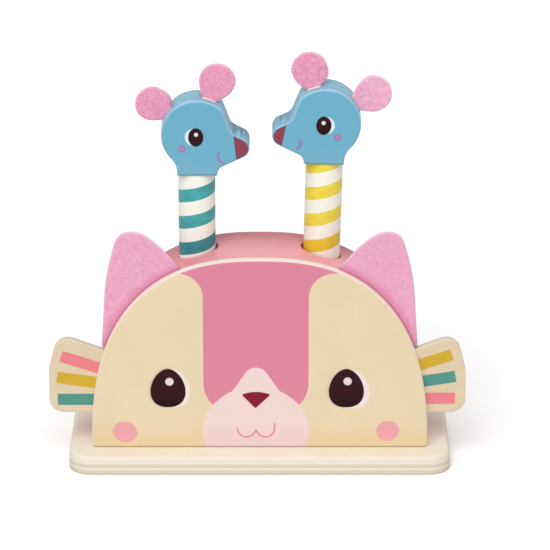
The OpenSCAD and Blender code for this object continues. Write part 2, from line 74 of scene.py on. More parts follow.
view = {
    "lens": 215.8,  # for a 36 mm wide sensor
    "sensor": 36,
    "elevation": 20,  # degrees above the level
    "distance": 2164.8,
    "aim": (10.03, 4, 118.67),
}
studio = {
    "sun": 1.8,
    "sunFrom": (-0.15, -0.65, 0.74),
    "sunSpread": 50,  # degrees across, for soft shadows
    "fill": 0.5,  # strength of the sky on the object
    "floorTone": 0.8,  # what the floor throws back on the object
    "floorShown": 1.17,  # what the camera sees, so that the lit floor is white
    "floorSize": 12000,
}


def setCamera():
    camera = bpy.data.objects.new("camera", bpy.data.cameras.new("camera"))
    bpy.context.scene.collection.objects.link(camera)
    camera.data.lens = view["lens"]
    camera.data.sensor_width = view["sensor"]
    camera.data.clip_end = 50
    tilt = math.radians(view["elevation"])
    aim = np.array(view["aim"])
    camera.location = (aim + view["distance"] * np.array([0, -math.cos(tilt), math.sin(tilt)])) * mm
    camera.rotation_euler = (math.pi / 2 - tilt, 0, 0)
    bpy.context.scene.camera = camera


class Wire:
    # one shader value; sums, products and comparisons of wires add Math nodes
    def __init__(self, tree, socket):
        self.tree = tree
        self.socket = socket

    def math(self, operation, *others):
        sockets = dict(enumerate((self, *others)))
        return addNode(self.tree, "ShaderNodeMath", {"operation": operation}, sockets)

    def __add__(self, other):
        return self.math("ADD", other)

    def __sub__(self, other):
        return self.math("SUBTRACT", other)

    def __mul__(self, other):
        return self.math("MULTIPLY", other)

    def __truediv__(self, other):
        return self.math("DIVIDE", other)

    def __rsub__(self, other):
        return self * -1 + other

    def __neg__(self):
        return self * -1

    def __abs__(self):
        return self.math("ABSOLUTE")

    def __pow__(self, power):
        return self.math("POWER", power)

    __radd__ = __add__
    __rmul__ = __mul__

    def atMost(self, other):
        return self.math("MINIMUM", other)

    def atLeast(self, other):
        return self.math("MAXIMUM", other)

    def root(self):
        return self.math("SQRT")

    def clamp(self):
        return self.atLeast(0).atMost(1)

    def ramp(self, start, end):
        # 0 at start, 1 at end and straight between them
        return ((self - start) / (end - start)).clamp()


def plug(tree, slot, value):
    if isinstance(value, Wire):
        tree.links.new(value.socket, slot)
    else:
        slot.default_value = value


def addNode(tree, kind, settings, sockets, output=0):
    # a node with its settings, then values or wires for its sockets, and a wire from one of its outputs
    made = tree.nodes.new(kind)
    for key, value in settings.items():
        setattr(made, key, value)
    for key, value in sockets.items():
        plug(tree, made.inputs[key], value)
    return Wire(tree, made.outputs[output])


def tone(red, green, blue):
    # a screen colour, 0 to 255, as linear light
    screen = np.array([red, green, blue]) / 255
    linear = np.where(screen < 0.04045, screen / 12.92, ((screen + 0.055) / 1.055) ** 2.4)
    return (*linear, 1)


def tones(paint):
    return {key: tone(*value) for key, value in paint.items()}


def length(*parts):
    # the root of the sum of the squares
    total = parts[0] * parts[0]
    for part in parts[1:]:
        total = total + part * part
    return total.root()


def ellipse(x, z, middle, halves, turn=0):
    # (root of (along / a)^2 + (across / b)^2, less 1) times the smaller half; negative inside
    c, s = math.cos(math.radians(turn)), math.sin(math.radians(turn))
    dx, dz = x - middle[0], z - middle[1]
    return (length((dx * c + dz * s) / halves[0], (dz * c - dx * s) / halves[1]) - 1) * min(halves)


def inside(distance, blur=0.25):
    # 1 where a distance in mm is below 0, with a soft edge
    return (0.5 - distance / blur).clamp()


class Finish:
    # one material: its own node tree, the place of a point in millimetres, and its Principled shader
    def __init__(self, name, **settings):
        self.material = bpy.data.materials.new(name)
        self.material.use_nodes = True
        self.tree = self.material.node_tree
        self.tree.nodes.clear()
        self.shader = self.tree.nodes.new("ShaderNodeBsdfPrincipled")
        output = self.tree.nodes.new("ShaderNodeOutputMaterial")
        self.tree.links.new(self.shader.outputs[0], output.inputs[0])
        for key, value in settings.items():
            self.shader.inputs[key.replace("_", " ")].default_value = value
        place = self.node("ShaderNodeTexCoord", {}, {}, "Object")
        self.x, self.y, self.z = (self.part(place, axis) / mm for axis in "XYZ")

    def node(self, kind, settings, sockets, output=0):
        return addNode(self.tree, kind, settings, sockets, output)

    def part(self, vector, axis):
        return self.node("ShaderNodeSeparateXYZ", {}, {0: vector}, axis)

    def mix(self, factor, first, second):
        # a colour between two colours
        return self.node("ShaderNodeMix", {"data_type": "RGBA"}, {0: factor, 6: first, 7: second}, 2)

    def noise(self, size, stretch=(1, 1, 1), detail=3, rough=0.5, twist=0, where=None):
        # cloudy noise, about 0.5 in the mean, with blotches of the given size in mm times stretch
        axes = where or (self.x, self.y, self.z)
        scaled = [axis * (1 / (size * part)) for axis, part in zip(axes, stretch)]
        spot = self.node("ShaderNodeCombineXYZ", {}, dict(enumerate(scaled)))
        sockets = {"Vector": spot, "Scale": 1, "Detail": detail, "Roughness": rough, "Distortion": twist}
        return self.node("ShaderNodeTexNoise", {}, sockets)

    def bump(self, height, depth, strength):
        # height from 0 to 1 becomes a relief of depth mm; each "relief" below is a depth and a strength
        sockets = {"Strength": strength, "Distance": depth * mm, "Height": height}
        self.feed("Normal", self.node("ShaderNodeBump", {}, sockets))

    def feed(self, socket, value):
        plug(self.tree, self.shader.inputs[socket], value)


def setStudio():
    scene = bpy.context.scene
    scene.view_settings.view_transform = "Standard"
    sun = bpy.data.objects.new("sun", bpy.data.lights.new("sun", "SUN"))
    scene.collection.objects.link(sun)
    sun.data.energy = studio["sun"]
    sun.data.angle = math.radians(studio["sunSpread"])
    toSun = np.array(studio["sunFrom"]) / np.linalg.norm(studio["sunFrom"])
    sun.rotation_euler = (math.acos(toSun[2]), 0, math.atan2(toSun[0], -toSun[1]))
    world = bpy.data.worlds.new("studio")
    scene.world = world
    world.use_nodes = True
    tree = world.node_tree
    tree.nodes.clear()
    # the sky is white where it is seen, and only as strong as the fill where it lights the object
    camera, glossy, through = (
        addNode(tree, "ShaderNodeLightPath", {}, {}, f"Is {name} Ray")
        for name in ("Camera", "Glossy", "Transmission")
    )
    strength = (camera + glossy + through).clamp() * (1 - studio["fill"]) + studio["fill"]
    sky = addNode(tree, "ShaderNodeBackground", {}, {"Color": (1, 1, 1, 1), "Strength": strength})
    output = tree.nodes.new("ShaderNodeOutputWorld")
    tree.links.new(sky.socket, output.inputs[0])


def floorPiece():
    half = studio["floorSize"] / 2
    mesh = bpy.data.meshes.new("floor")
    corners = [(-half, -half), (half, -half), (half, half), (-half, half)]
    mesh.from_pydata([(x * mm, y * mm, 0) for x, y in corners], [], [(0, 1, 2, 3)])
    floor = bpy.data.objects.new("floor", mesh)
    bpy.context.scene.collection.objects.link(floor)
    finish = Finish("floor_paper", Roughness=1.0, Specular_IOR_Level=0.0)
    rays = finish.node("ShaderNodeLightPath", {}, {}, "Is Camera Ray")
    dim, bright = ((studio[key],) * 3 + (1,) for key in ("floorTone", "floorShown"))
    finish.feed("Base Color", finish.mix(rays, dim, bright))
    mesh.materials.append(finish.material)


sharpAngle = 38  # an edge between faces that turn by more degrees is drawn sharp
samePlace = 1e-5  # points closer than this are one point


def makePiece(name, points, faces, body, replaced, finishes, kinds=None):
    # one mesh at the origin, from points in mm and faces of any length
    mesh = bpy.data.meshes.new(name)
    mesh.from_pydata((np.asarray(points) * mm).tolist(), [], [list(map(int, face)) for face in faces])
    for finish in finishes:
        mesh.materials.append(finish.material)
    if kinds is not None:
        mesh.polygons.foreach_set("material_index", np.asarray(kinds, np.int32))
    mesh.polygons.foreach_set("use_smooth", np.ones(len(mesh.polygons), bool))
    mesh.set_sharp_from_angle(angle=math.radians(sharpAngle))
    mesh.validate()
    piece = bpy.data.objects.new(name, mesh)
    bpy.context.scene.collection.objects.link(piece)
    if body:
        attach(piece, body)
    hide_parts(*replaced)
    return piece


def heading(angle):
    # the unit vector at an angle in degrees
    return np.array([math.cos(math.radians(angle)), math.sin(math.radians(angle))])


def arc(centre, radius, start, end, count):
    # points of an arc, angles in degrees
    angle = np.radians(np.linspace(start, end, count + 1))
    return np.array(centre) + radius * np.stack([np.cos(angle), np.sin(angle)], 1)


def arch(halfWide, high, power, count=180):
    # superellipse that stands on its base line: x = a cos^(2/p), z = b sin^(2/p), from right to left
    angle = np.linspace(0, np.pi, count + 1)
    c, s = np.cos(angle), np.abs(np.sin(angle))
    return np.stack([halfWide * np.sign(c) * np.abs(c) ** (2 / power), high * s ** (2 / power)], 1)


def tidy(outline):
    # drops points that repeat their neighbour
    gap = np.linalg.norm(outline - np.roll(outline, 1, 0), axis=1)
    return outline[gap > samePlace]


def inset(outline, distance):
    # moves each corner of an outline inward along the mitre of its two sides
    side = np.roll(outline, -1, 0) - outline
    side = side / np.linalg.norm(side, axis=1)[:, None]
    inward = np.stack([-side[:, 1], side[:, 0]], 1)
    before = np.roll(inward, 1, 0)
    mitre = (inward + before) / (1 + np.sum(inward * before, 1))[:, None]
    return outline + distance * mitre


def insetOf(outline):
    return lambda distance: inset(outline, distance)


def roundCorner(before, corner, after, radius, count=10):
    # the corner between two sides as an arc that touches both
    before, corner, after = (np.array(p[:2], float) for p in (before, corner, after))
    if radius == 0:
        return corner[None]
    one = (before - corner) / np.linalg.norm(before - corner)
    two = (after - corner) / np.linalg.norm(after - corner)
    half = math.acos(one @ two) / 2
    middle = corner + (one + two) / np.linalg.norm(one + two) * radius / math.sin(half)
    p = corner + one * radius / math.tan(half) - middle
    q = corner + two * radius / math.tan(half) - middle
    start = math.degrees(math.atan2(p[1], p[0]))
    turn = (math.degrees(math.atan2(q[1], q[0])) - start + 180) % 360 - 180
    return arc(middle, radius, start, start + turn, count)


def roundOutline(corners):
    # a closed outline through corners (x, z, radius)
    around = zip([corners[-1], *corners], corners, [*corners[1:], corners[0]])
    return tidy(np.concatenate([roundCorner(before, at, after, at[2]) for before, at, after in around]))


def rimProfile(thickness, front, back, middle=(), count=4, flat=0.5):
    # (inset, depth) pairs: from the front face over a quarter round, straight back, and over the other;
    # a ring flat mm further in keeps each face's shading flat
    angle = np.linspace(0, np.pi / 2, count + 1)
    quarter = np.stack([1 - np.sin(angle), 1 - np.cos(angle)], 1)
    near = np.concatenate([[[front + flat, 0]], front * quarter])
    far = np.concatenate([[[back + flat, 0]], back * quarter])[::-1]
    far = np.stack([far[:, 0], thickness - far[:, 1]], 1)
    between = np.array([(0, depth) for depth in middle]).reshape(-1, 2)
    return np.concatenate([near, between, far])


def ringFaces(rows, count):
    # quads between rows of rings of count points, and the flat faces that close the first and the last ring
    ring, i = np.meshgrid(np.arange(rows - 1) * count, np.arange(count), indexing="ij")
    j = (i + 1) % count
    sides = np.stack([ring + j, ring + i, ring + count + i, ring + count + j], -1).reshape(-1, 4)
    return sides, [np.arange(count), (rows - 1) * count + np.arange(count)[::-1]]


def slab(outlineAt, profile, origin, across, up, back):
    # rings of an outline carried along a profile: origin + x across + z up + depth back
    rings = np.stack([outlineAt(part) for part in profile[:, 0]])
    depth = np.broadcast_to(profile[:, 1][:, None], rings.shape[:2])
    points = np.array(origin) + rings[..., :1] * across + rings[..., 1:] * up + depth[..., None] * back
    sides, caps = ringFaces(*rings.shape[:2])
    if np.linalg.det([across, up, back]) > 0:
        sides = sides[:, ::-1]
        caps = [cap[::-1] for cap in caps]
    return points.reshape(-1, 3), sides, caps


def standingPiece(node, name, finish, outlineAt, rims, count=4, across=east):
    # a flat piece on the base board: an outline in x and height, as deep as the node's own box
    low, high = boxOf(node)
    profile = rimProfile(high[1] - low[1], *rims, count=count)
    points, sides, caps = slab(outlineAt, profile, (0, low[1], boardTop), across, skyward, north)
    return makePiece(name, points, [*sides, *caps], "housing", [node], [finish])


def rimEdges(faces):
    # edges that belong to one quad only, each in that quad's own order
    edges = np.concatenate([faces[:, [k, (k + 1) % 4]] for k in range(4)])
    same, counts = np.unique(np.sort(edges, 1), axis=0, return_inverse=True, return_counts=True)[1:]
    return edges[counts[same.reshape(-1)] == 1]


plyWave = {"size": 9, "stretch": (3, 3, 0.3), "high": 0.5, "blur": 0.5}


def plyLayers(finish, depth, layers, light, dark):
    # the edge of plywood: each layer (start, end, share) mixes in the dark tone between two depths,
    # with lines that waver by a cloudy noise
    wave = (finish.noise(plyWave["size"], plyWave["stretch"]) - 0.5) * plyWave["high"]
    colour = light
    for start, end, share in layers:
        after = inside(start - depth + wave, plyWave["blur"])
        before = inside(depth - wave - end, plyWave["blur"])
        colour = finish.mix(after * before * share, colour, dark)
    return colour


woodCloud = {"size": 14, "stretch": (1, 1, 1.6)}  # times the size of the streaks


def woodGrain(finish, colour, darker, size, stretch, amount, fine=1.6, broad=1.2):
    # faint long streaks in one direction over broad clouds
    streak = finish.noise(size, stretch, detail=5, rough=0.6)
    cloud = finish.noise(size * woodCloud["size"], woodCloud["stretch"], detail=2)
    share = ((streak - 0.5) * fine + (cloud - 0.5) * broad + 0.5).clamp() * amount
    return finish.mix(share, colour, darker), streak


boardPaint = {
    "top": (243, 235, 218),
    "streak": (232, 217, 193),
    "edge": (238, 230, 213),
    "dark": (196, 179, 152),
}
# veneers in the base's edge: lower and upper height, and how dark
boardPlies = (
    (-1, 1.4, 0.62),
    (1.4, 3.5, 0.45),
    (5, 7.2, 0.5),
    (7.2, 7.8, 0.2),
    (9.25, 9.75, 0.42),
    (10.1, 13, 0.24),
)
boardVeneer = {
    "grain": (1.1, (16, 1, 1), 0.5),  # size, stretch and share
    "relief": (0.06, 0.5),
    "over": 0.7,  # how far the faces' veneers reach round the rims
    "under": 0.15,
}


def boardFinish(top):
    finish = Finish("base_ply", Roughness=0.55)
    ink = tones(boardPaint)
    face, streak = woodGrain(finish, ink["top"], ink["streak"], *boardVeneer["grain"])
    edge = plyLayers(finish, finish.z, boardPlies, ink["edge"], ink["dark"])
    over = inside(top - boardVeneer["over"] - finish.z, 0.5)
    under = inside(finish.z - boardVeneer["under"], 0.1)
    finish.feed("Base Color", finish.mix(over.atLeast(under), edge, face))
    finish.bump(streak, *boardVeneer["relief"])
    return finish


panelPaint = {
    "wood": (237, 218, 186),
    "woodStreak": (229, 207, 168),
    "woodLow": (224, 199, 144),
    # the next tone is painted shade where the panel stands on the base
    "foot": (132, 104, 66),
    "rim": (250, 240, 224),
    "forehead": (224, 136, 160),
    "muzzle": (242, 217, 213),
    "muzzleLow": (226, 194, 196),
    "nose": (134, 24, 54),
    "mouth": (222, 136, 154),
    "eye": (50, 12, 20),
    "eyeLow": (26, 0, 2),
    "glint": (232, 218, 216),
    "crescent": (241, 229, 226),
    # the next tone is the painted shadow round the eyes, and also the dark veneers in the panel's edge
    "shade": (206, 186, 164),
    "cheek": (237, 167, 172),
}
facePrint = {
    "middle": -2.4,  # the print sits this far left of the panel's middle
    "grain": (1.8, (1, 1, 14), 0.6, 0.7, 2),  # size, stretch, share, and weights of streaks and clouds
    "woodLow": (30, 8),  # the wood's colour deepens between these two heights
    "bandHalf": 34.3,
    "bandCorner": (50.8, 116.9, 16.5),
    "bandLow": (57, 26),
    "muzzle": ((0, 23.5), (34.7, 31.5)),
    "muzzleSteep": 0.32,  # below its middle the muzzle's side is steeper by this share
    "bridge": (60.1, 8.2, 33.96, 44),  # height, radius, slope of its sides in degrees, lower end
    "pinkLow": (30, 0),  # and the muzzle's pink between these
    "nose": ((-9.6, 49.5), (9.6, 49.3), (-0.4, 39.7), 51.3),  # left, right, tip, and the top's height
    "noseDome": (0.022, 0.95),  # how fast the top falls away, and its slope's scale
    "noseCorner": 1.6,
    "smile": (6.15, 25.6, 6.05, 1.05),  # arcs apart, height, radius and pen
    "smileEnds": ((-1, 0.3), (1, 3.7)),  # how far each arc's inner end stands above its middle
    "smileInner": (3, 1.2),  # where an inner end starts, and its depth
    # each eye's middle, its glint's middle, and how far its pale crescent sits right and down
    "eyes": ((-59.8, 51.8, -58.8, 58.4, 2.9, 0.3), (56.6, 51.7, 57.4, 58.7, 3.6, 0.8)),
    "eyeHalves": (11.5, 15.7, 11.3),  # half width, and heights above and below
    "eyePowers": (1.8, 2.3),  # of the upper and the lower half
    "eyeDeep": (-4, -11),  # an eye gets darker between these two heights below its middle
    "eyeShade": (0.6, 0.5, 1.6, 0.7),  # the soft painted shadow round an eye: its place to the left, growth, blur and share
    "glintR": 2.7,
    "cheeks": ((-88.3, 23, 8.05, 7.35, -20), (83.9, 23.8, 7.6, 7.0, 20)),  # place, halves and turn
    "plies": ((1.9, 2.2, 0.25), (4.6, 4.9, 0.25)),
    "deep": 0.45,  # the print reaches this far round the panel's rim
    "foot": (1, 0.9, 0.5),  # painted shade along the joint with the base: its height, blur and share
    "relief": (0.03, 0.3),
}


def foreheadBand(side, z):
    # all that lies outside the two bare fields, down to a half ellipse; negative inside
    cornerX, cornerZ, cornerR = facePrint["bandCorner"]
    field = length((cornerX - side).atLeast(0), (z - cornerZ).atLeast(0)) - cornerR
    endZ, endHigh = facePrint["bandLow"]
    tongue = ellipse(side, z, (0, endZ), (facePrint["bandHalf"], endHigh))
    isHigh = (z - endZ).math("GREATER_THAN", 0)
    return (-field) * isHigh + tongue * (1 - isHigh)


def muzzleDistance(side, z):
    # the nearest of an ellipse, the ball on top of the nose's bridge and the bridge's sloping side
    bridgeZ, bridgeR, slope, bridgeLow = facePrint["bridge"]
    c, s = math.cos(math.radians(slope)), math.sin(math.radians(slope))
    lift = (z - facePrint["muzzle"][0][1]).atMost(0) * facePrint["muzzleSteep"]
    muzzle = ellipse(side, z - lift, *facePrint["muzzle"])
    ball = length(side, z - bridgeZ) - bridgeR
    slopes = (side * c + (z - bridgeZ) * s - bridgeR).atLeast(z - bridgeZ - bridgeR * s)
    return muzzle.atMost(ball).atMost(slopes.atLeast(bridgeLow - z))


def noseDistance(u, z):
    # the smooth largest of the distances to a domed top and two straight sides
    left, right, tip, crown = facePrint["nose"]
    dome, scale = facePrint["noseDome"]
    nose = (z + u * u * dome - crown) * scale
    for one, two in ((right, tip), (tip, left)):
        run = np.subtract(one, two) / np.linalg.norm(np.subtract(one, two))
        away = (u - two[0]) * float(-run[1]) + (z - two[1]) * float(run[0])
        nose = nose.math("SMOOTH_MAX", -away, facePrint["noseCorner"])
    return nose


def printSmile(finish, art, u, z, ink):
    # two arcs side by side: |distance from an arc's middle - radius| is less than half the pen
    apart, smileZ, smileR, pen = facePrint["smile"]
    innerFrom, innerDeep = facePrint["smileInner"]
    under = (z - smileZ).atMost(0)
    isInner = inside(abs(u) - innerFrom, 0.6)
    for sign, top in facePrint["smileEnds"]:
        ring = abs(length(u - sign * apart, under) - smileR) - pen / 2
        isLow = inside(z - smileZ - top, 0.6)
        keep = isLow * (1 - isInner * inside(smileZ - innerDeep - z, 0.6))
        art = finish.mix(inside(ring, 0.4) * keep, art, ink)
    return art


def eggDistance(x, z, middle):
    # an egg, blunter below its widest line than above it: (|x/a|^p + |z/b|^p)^(1/p) - 1, times a
    wide, *heights = facePrint["eyeHalves"]
    dx, dz = abs(x - middle[0]) / wide, z - middle[1]
    upper, lower = (
        (dx**power + (part.atLeast(0) / high) ** power) ** (1 / power) - 1
        for part, high, power in zip((dz, -dz), heights, facePrint["eyePowers"])
    )
    isUp = dz.math("GREATER_THAN", 0)
    return (upper * isUp + lower * (1 - isUp)) * wide


def printEyes(finish, art, x, z, colour):
    # each eye: a soft painted shadow round it, a pale crescent on its right, the egg and a round glint
    aside, grown, blur, share = facePrint["eyeShade"]
    start, end = facePrint["eyeDeep"]
    for eyeX, eyeZ, glintX, glintZ, right, down in facePrint["eyes"]:
        # painted shadow round the egg, a little to its left
        shade = eggDistance(x + aside, z, (eyeX, eyeZ)) - grown
        art = finish.mix(inside(shade, blur) * share, art, colour["shade"])
        pale = eggDistance(x - right, z + down, (eyeX, eyeZ))
        art = finish.mix(inside(pale, 1.2) * 0.95, art, colour["crescent"])
        deep = finish.mix(z.ramp(eyeZ + start, eyeZ + end), colour["eye"], colour["eyeLow"])
        art = finish.mix(inside(eggDistance(x, z, (eyeX, eyeZ)), 0.35), art, deep)
        glint = length(x - glintX, z - glintZ) - facePrint["glintR"]
        art = finish.mix(inside(glint, 0.5), art, colour["glint"])
    return art


def panelFinish(front):
    # the printed face, from the wood up to the cheeks, and the panel's edge
    finish = Finish("printed_ply", Roughness=0.42, Specular_IOR_Level=0.15)
    x, z = finish.x, finish.z
    u = x - facePrint["middle"]
    side = abs(u)
    colour = tones(panelPaint)
    wood, streak = woodGrain(finish, colour["wood"], colour["woodStreak"], *facePrint["grain"])
    wood = finish.mix(z.ramp(*facePrint["woodLow"]) * 0.75, wood, colour["woodLow"])
    art = finish.mix(inside(foreheadBand(side, z)), wood, colour["forehead"])
    pink = finish.mix(z.ramp(*facePrint["pinkLow"]), colour["muzzle"], colour["muzzleLow"])
    art = finish.mix(inside(muzzleDistance(side, z)), art, pink)
    art = finish.mix(inside(noseDistance(u, z)), art, colour["nose"])
    art = printSmile(finish, art, u, z, colour["mouth"])
    art = printEyes(finish, art, x, z, colour)
    for cheekX, cheekZ, wide, high, turn in facePrint["cheeks"]:
        cheek = ellipse(x, z, (cheekX, cheekZ), (wide, high), turn)
        art = finish.mix(inside(cheek, 0.5), art, colour["cheek"])
    # painted shade along the panel's foot, where it meets the base
    shadeReach, blur, share = facePrint["foot"]
    art = finish.mix(inside(z - boardTop - shadeReach, blur) * share, art, colour["foot"])
    edge = plyLayers(finish, finish.y - front, facePrint["plies"], colour["rim"], colour["shade"])
    isFront = inside(finish.y - front - facePrint["deep"], 0.3)
    finish.feed("Base Color", finish.mix(isFront, edge, art))
    finish.bump(streak, *facePrint["relief"])
    return finish


salmonPaint = {
    "top": (248, 171, 177),
    "cloud": (238, 162, 169),
    # the last two tones are painted shade: one towards the back, one on the left
    "back": (201, 117, 125),
    "warm": (238, 142, 151),
}
salmonSpread = {
    "cloud": (45, 1.6, 0.4),  # size of the faint clouds, their contrast, and their share in the mean
    "fine": 0.8,
    "relief": (0.03, 0.5),
    "ragged": 0.3,  # how far the clouds break up the painted shade
    "shadedBetween": (-9, 21),  # painted shade: the paint gets deeper between these two distances behind the middle
    "warms": (-28, -48),  # and painted shade makes it warmer between these two places on the left
}


def salmonFinish():
    # satin paint over wood, in faint clouds, with painted shade towards the back and on the left
    finish = Finish("salmon_paint", Roughness=0.42, Specular_IOR_Level=0.22)
    ink = tones(salmonPaint)
    size, contrast, mean = salmonSpread["cloud"]
    cloud = finish.noise(size, detail=2) - 0.5
    colour = finish.mix((cloud * contrast + mean).clamp(), ink["top"], ink["cloud"])
    # painted shade: warmer on the left, deeper towards the back
    colour = finish.mix(finish.x.ramp(*salmonSpread["warms"]), colour, ink["warm"])
    start, end = salmonSpread["shadedBetween"]
    share = ((finish.y - start) / (end - start) + cloud * salmonSpread["ragged"]).clamp()
    finish.feed("Base Color", finish.mix(share, colour, ink["back"]))
    finish.bump(finish.noise(salmonSpread["fine"], detail=2), *salmonSpread["relief"])
    return finish


feltPaint = {
    "cat": {"base": (244, 175, 204), "deep": (214, 118, 164), "pale": (254, 207, 227)},
    "mouse": {"base": (247, 162, 195), "deep": (206, 104, 148), "pale": (255, 202, 223)},
    "paleMouse": {"base": (252, 184, 212), "deep": (222, 130, 172), "pale": (255, 214, 232)},
}
feltShadePaint = {
    "shade": (208, 106, 152),  # painted shade where the cat's ear comes up behind the panel
    # the next tone is a painted contact shadow along the panel's rim
    "contactShade": (172, 92, 114),
}
# size of each felt's curls in mm and how strongly they show
feltCurl = {"cat": (1.3, 0.32), "mouse": (1.2, 0.55), "paleMouse": (1.2, 0.5)}
feltWool = {
    # the curls of both tones are this many times that size and shifted so far, and the dark ones' share
    "dark": (2.2, 0, 0.7),
    "light": (2.6, 31),
    "speck": (0.59, 9, 0.6),  # grain above this value is a dark speck, how steeply it darkens, and its share
    "blotch": (6, 0.45, 0.5),  # times that size, the value that changes nothing, and their share
    "rim": (2.5, 0.55),  # painted sheen on the rounded rim: how soon it turns pale, and how pale
    "edge": (0.5, 0.6),  # painted highlight on the cat's ears' sides behind their front edge: its blur and paleness
    "shadeReach": 9,  # painted shade on the cat's ears reaches this far from the panel
    "contactShade": (0.9, 0.8, 0.35),  # the painted contact shadow along the panel: width, blur and share
    "relief": (0.4, 0.7),
}


def curls(finish, size, shift):
    # thin wandering lines, where a twisted cloudy noise crosses its mean: 1 - 14 |noise - 0.5|
    where = (finish.x + shift, finish.y, finish.z - shift)
    cloud = finish.noise(size, detail=2, twist=1.2, where=where)
    return (1 - abs(cloud - 0.5) * 14).clamp()


def archDistance(finish):
    # how far a point lies outside the panel's arch, in mm: high ((|x|/a)^p + (z/high)^p)^(1/p) - high
    high, power = panelHigh[2] - boardTop, panel["power"]
    wide = (abs(finish.x) / panel["halfWide"]) ** power
    tall = ((finish.z - boardTop).atLeast(0) / float(high)) ** power
    return ((wide + tall) ** (1 / power) - 1) * float(high)


def feltFinish(name, kind, sideHighlightFrom=None):
    # matted wool: curled fibres in two tones, dark specks, broad blotches, a soft nap and a painted sheen on
    # the rim;
    # the cat's ears also have a painted highlight on their sides behind the given depth, and painted shade
    # at their foot by the panel
    finish = Finish(name, Roughness=0.95, Sheen_Weight=0.2, Sheen_Roughness=0.6, Specular_IOR_Level=0.12)
    ink = tones(feltPaint[kind])
    size, curl = feltCurl[kind]
    (darkSize, darkShift, darkShare), (lightSize, lightShift) = feltWool["dark"], feltWool["light"]
    dark, light = curls(finish, size * darkSize, darkShift), curls(finish, size * lightSize, lightShift)
    grain = finish.noise(size * 0.9, detail=3, rough=0.6)
    start, steep, speckShare = feltWool["speck"]
    speck = ((grain - start) * steep).clamp()
    blotchSize, mean, blotchShare = feltWool["blotch"]
    blotch = finish.noise(size * blotchSize, detail=2) - mean
    share = (dark * curl * darkShare + speck * speckShare + blotch * blotchShare).clamp()
    colour = finish.mix(share, ink["base"], ink["deep"])
    colour = finish.mix(light * curl, colour, ink["pale"])
    # painted sheen: paler on the rim, where the normal leaves the sheet's own, which runs along y
    normal = finish.node("ShaderNodeTexCoord", {}, {}, "Normal")
    soon, share = feltWool["rim"]
    colour = finish.mix(((1 - abs(finish.part(normal, "Y"))) * soon).clamp() * share, colour, ink["pale"])
    if sideHighlightFrom is not None:
        # painted highlight on the cat's ear's side behind its front
        blur, share = feltWool["edge"]
        colour = finish.mix(inside(sideHighlightFrom - finish.y, blur) * share, colour, ink["pale"])
        # painted shade where the ear comes up behind the panel, and a painted contact shadow along the
        # panel's rim
        away = archDistance(finish)
        close = away.ramp(feltWool["shadeReach"], 0)
        foot = tones(feltShadePaint)
        colour = finish.mix(close * close * 0.8, colour, foot["shade"])
        wide, blur, share = feltWool["contactShade"]
        colour = finish.mix(inside(away - wide, blur) * share, colour, foot["contactShade"])
    finish.feed("Base Color", colour)
    finish.bump(light * 0.4 - dark * 0.4 + grain * 0.5, *feltWool["relief"])
    return finish


finPaint = {
    "wood": (230, 213, 182),
    "streak": (216, 190, 152),
    "rim": (222, 212, 194),
    "dark": (186, 168, 142),
    "pink": (236, 129, 138),
    "yellow": (212, 172, 34),
    "teal": (78, 148, 137),
}
# each stripe: the middle of its outer end, and its slope down towards the panel
finStripes = {
    "left": (("pink", -129.7, 73.5, -18.3), ("yellow", -132.6, 58.7, -8), ("teal", -132.4, 43.2, 0)),
    "right": (("yellow", 125.5, 74.7, -19.1), ("teal", 128.1, 59.4, -9.2), ("pink", 128.1, 44.0, 0)),
}
finPrint = {
    "grain": (0.9, (14, 1, 1), 0.6),  # size, stretch and share
    "stripe": 8.0,
    "plies": ((1.4, 1.8, 0.6), (4.0, 4.5, 0.6)),
    "deep": 0.35,  # the stripes reach this far round the rim
    "relief": (0.05, 0.5),
}


def finFinish(side, front):
    finish = Finish(side + "_fin_ply", Roughness=0.5)
    paint = tones(finPaint)
    art, streak = woodGrain(finish, paint["wood"], paint["streak"], *finPrint["grain"])
    inwards = 1 if side == "left" else -1
    for ink, endX, endZ, slope in finStripes[side]:
        c, s = math.cos(math.radians(slope)), math.sin(math.radians(slope))
        along = (finish.x - endX) * (inwards * c) + (finish.z - endZ) * s
        across = (finish.z - endZ) * c - (finish.x - endX) * (inwards * s)
        stripe = (abs(across) - finPrint["stripe"] / 2).atLeast(-along)
        art = finish.mix(inside(stripe, 0.35), art, paint[ink])
    edge = plyLayers(finish, finish.y - front, finPrint["plies"], paint["rim"], paint["dark"])
    isFront = inside(finish.y - front - finPrint["deep"], 0.25)
    finish.feed("Base Color", finish.mix(isFront, edge, art))
    finish.bump(streak, *finPrint["relief"])
    return finish


def along(finish, origin, direction):
    # how far a point lies from origin in one direction, in mm
    total = None
    for axis, start, part in zip((finish.x, finish.y, finish.z), origin, direction):
        if abs(part) > 1e-9:
            term = (axis - float(start)) * float(part)
            total = term if total is None else total + term
    return total


pegPaint = {
    # each peg's deepest ink tone is painted shade near the housing's hole
    "left": {
        "ink": (66, 168, 170),
        "inkShade": (52, 144, 150),
        "inkInShade": (30, 122, 130),
        "white": (248, 247, 235),
    },
    "right": {
        "ink": (242, 219, 68),
        "inkShade": (230, 198, 46),
        "inkInShade": (226, 190, 40),
        "white": (248, 246, 230),
    },
}
pegStripe = {
    "pitch": 18.1,
    "share": 0.483,  # white part of the pitch
    "left": 174.15,  # height of a stripe at the right of each peg
    "right": 175.65,
    "wobble": (5, 0.6),  # size and height of the edges' waver
    "shadedBetween": (162, 146),  # painted shade near the housing's hole: the ink gets deeper between these two heights
    "cloud": (7, (1, 1, 0.6)),  # size and stretch of the ink's clouds
    "fine": (0.9, (1, 1, 3)),
    "relief": (0.04, 0.5),
}


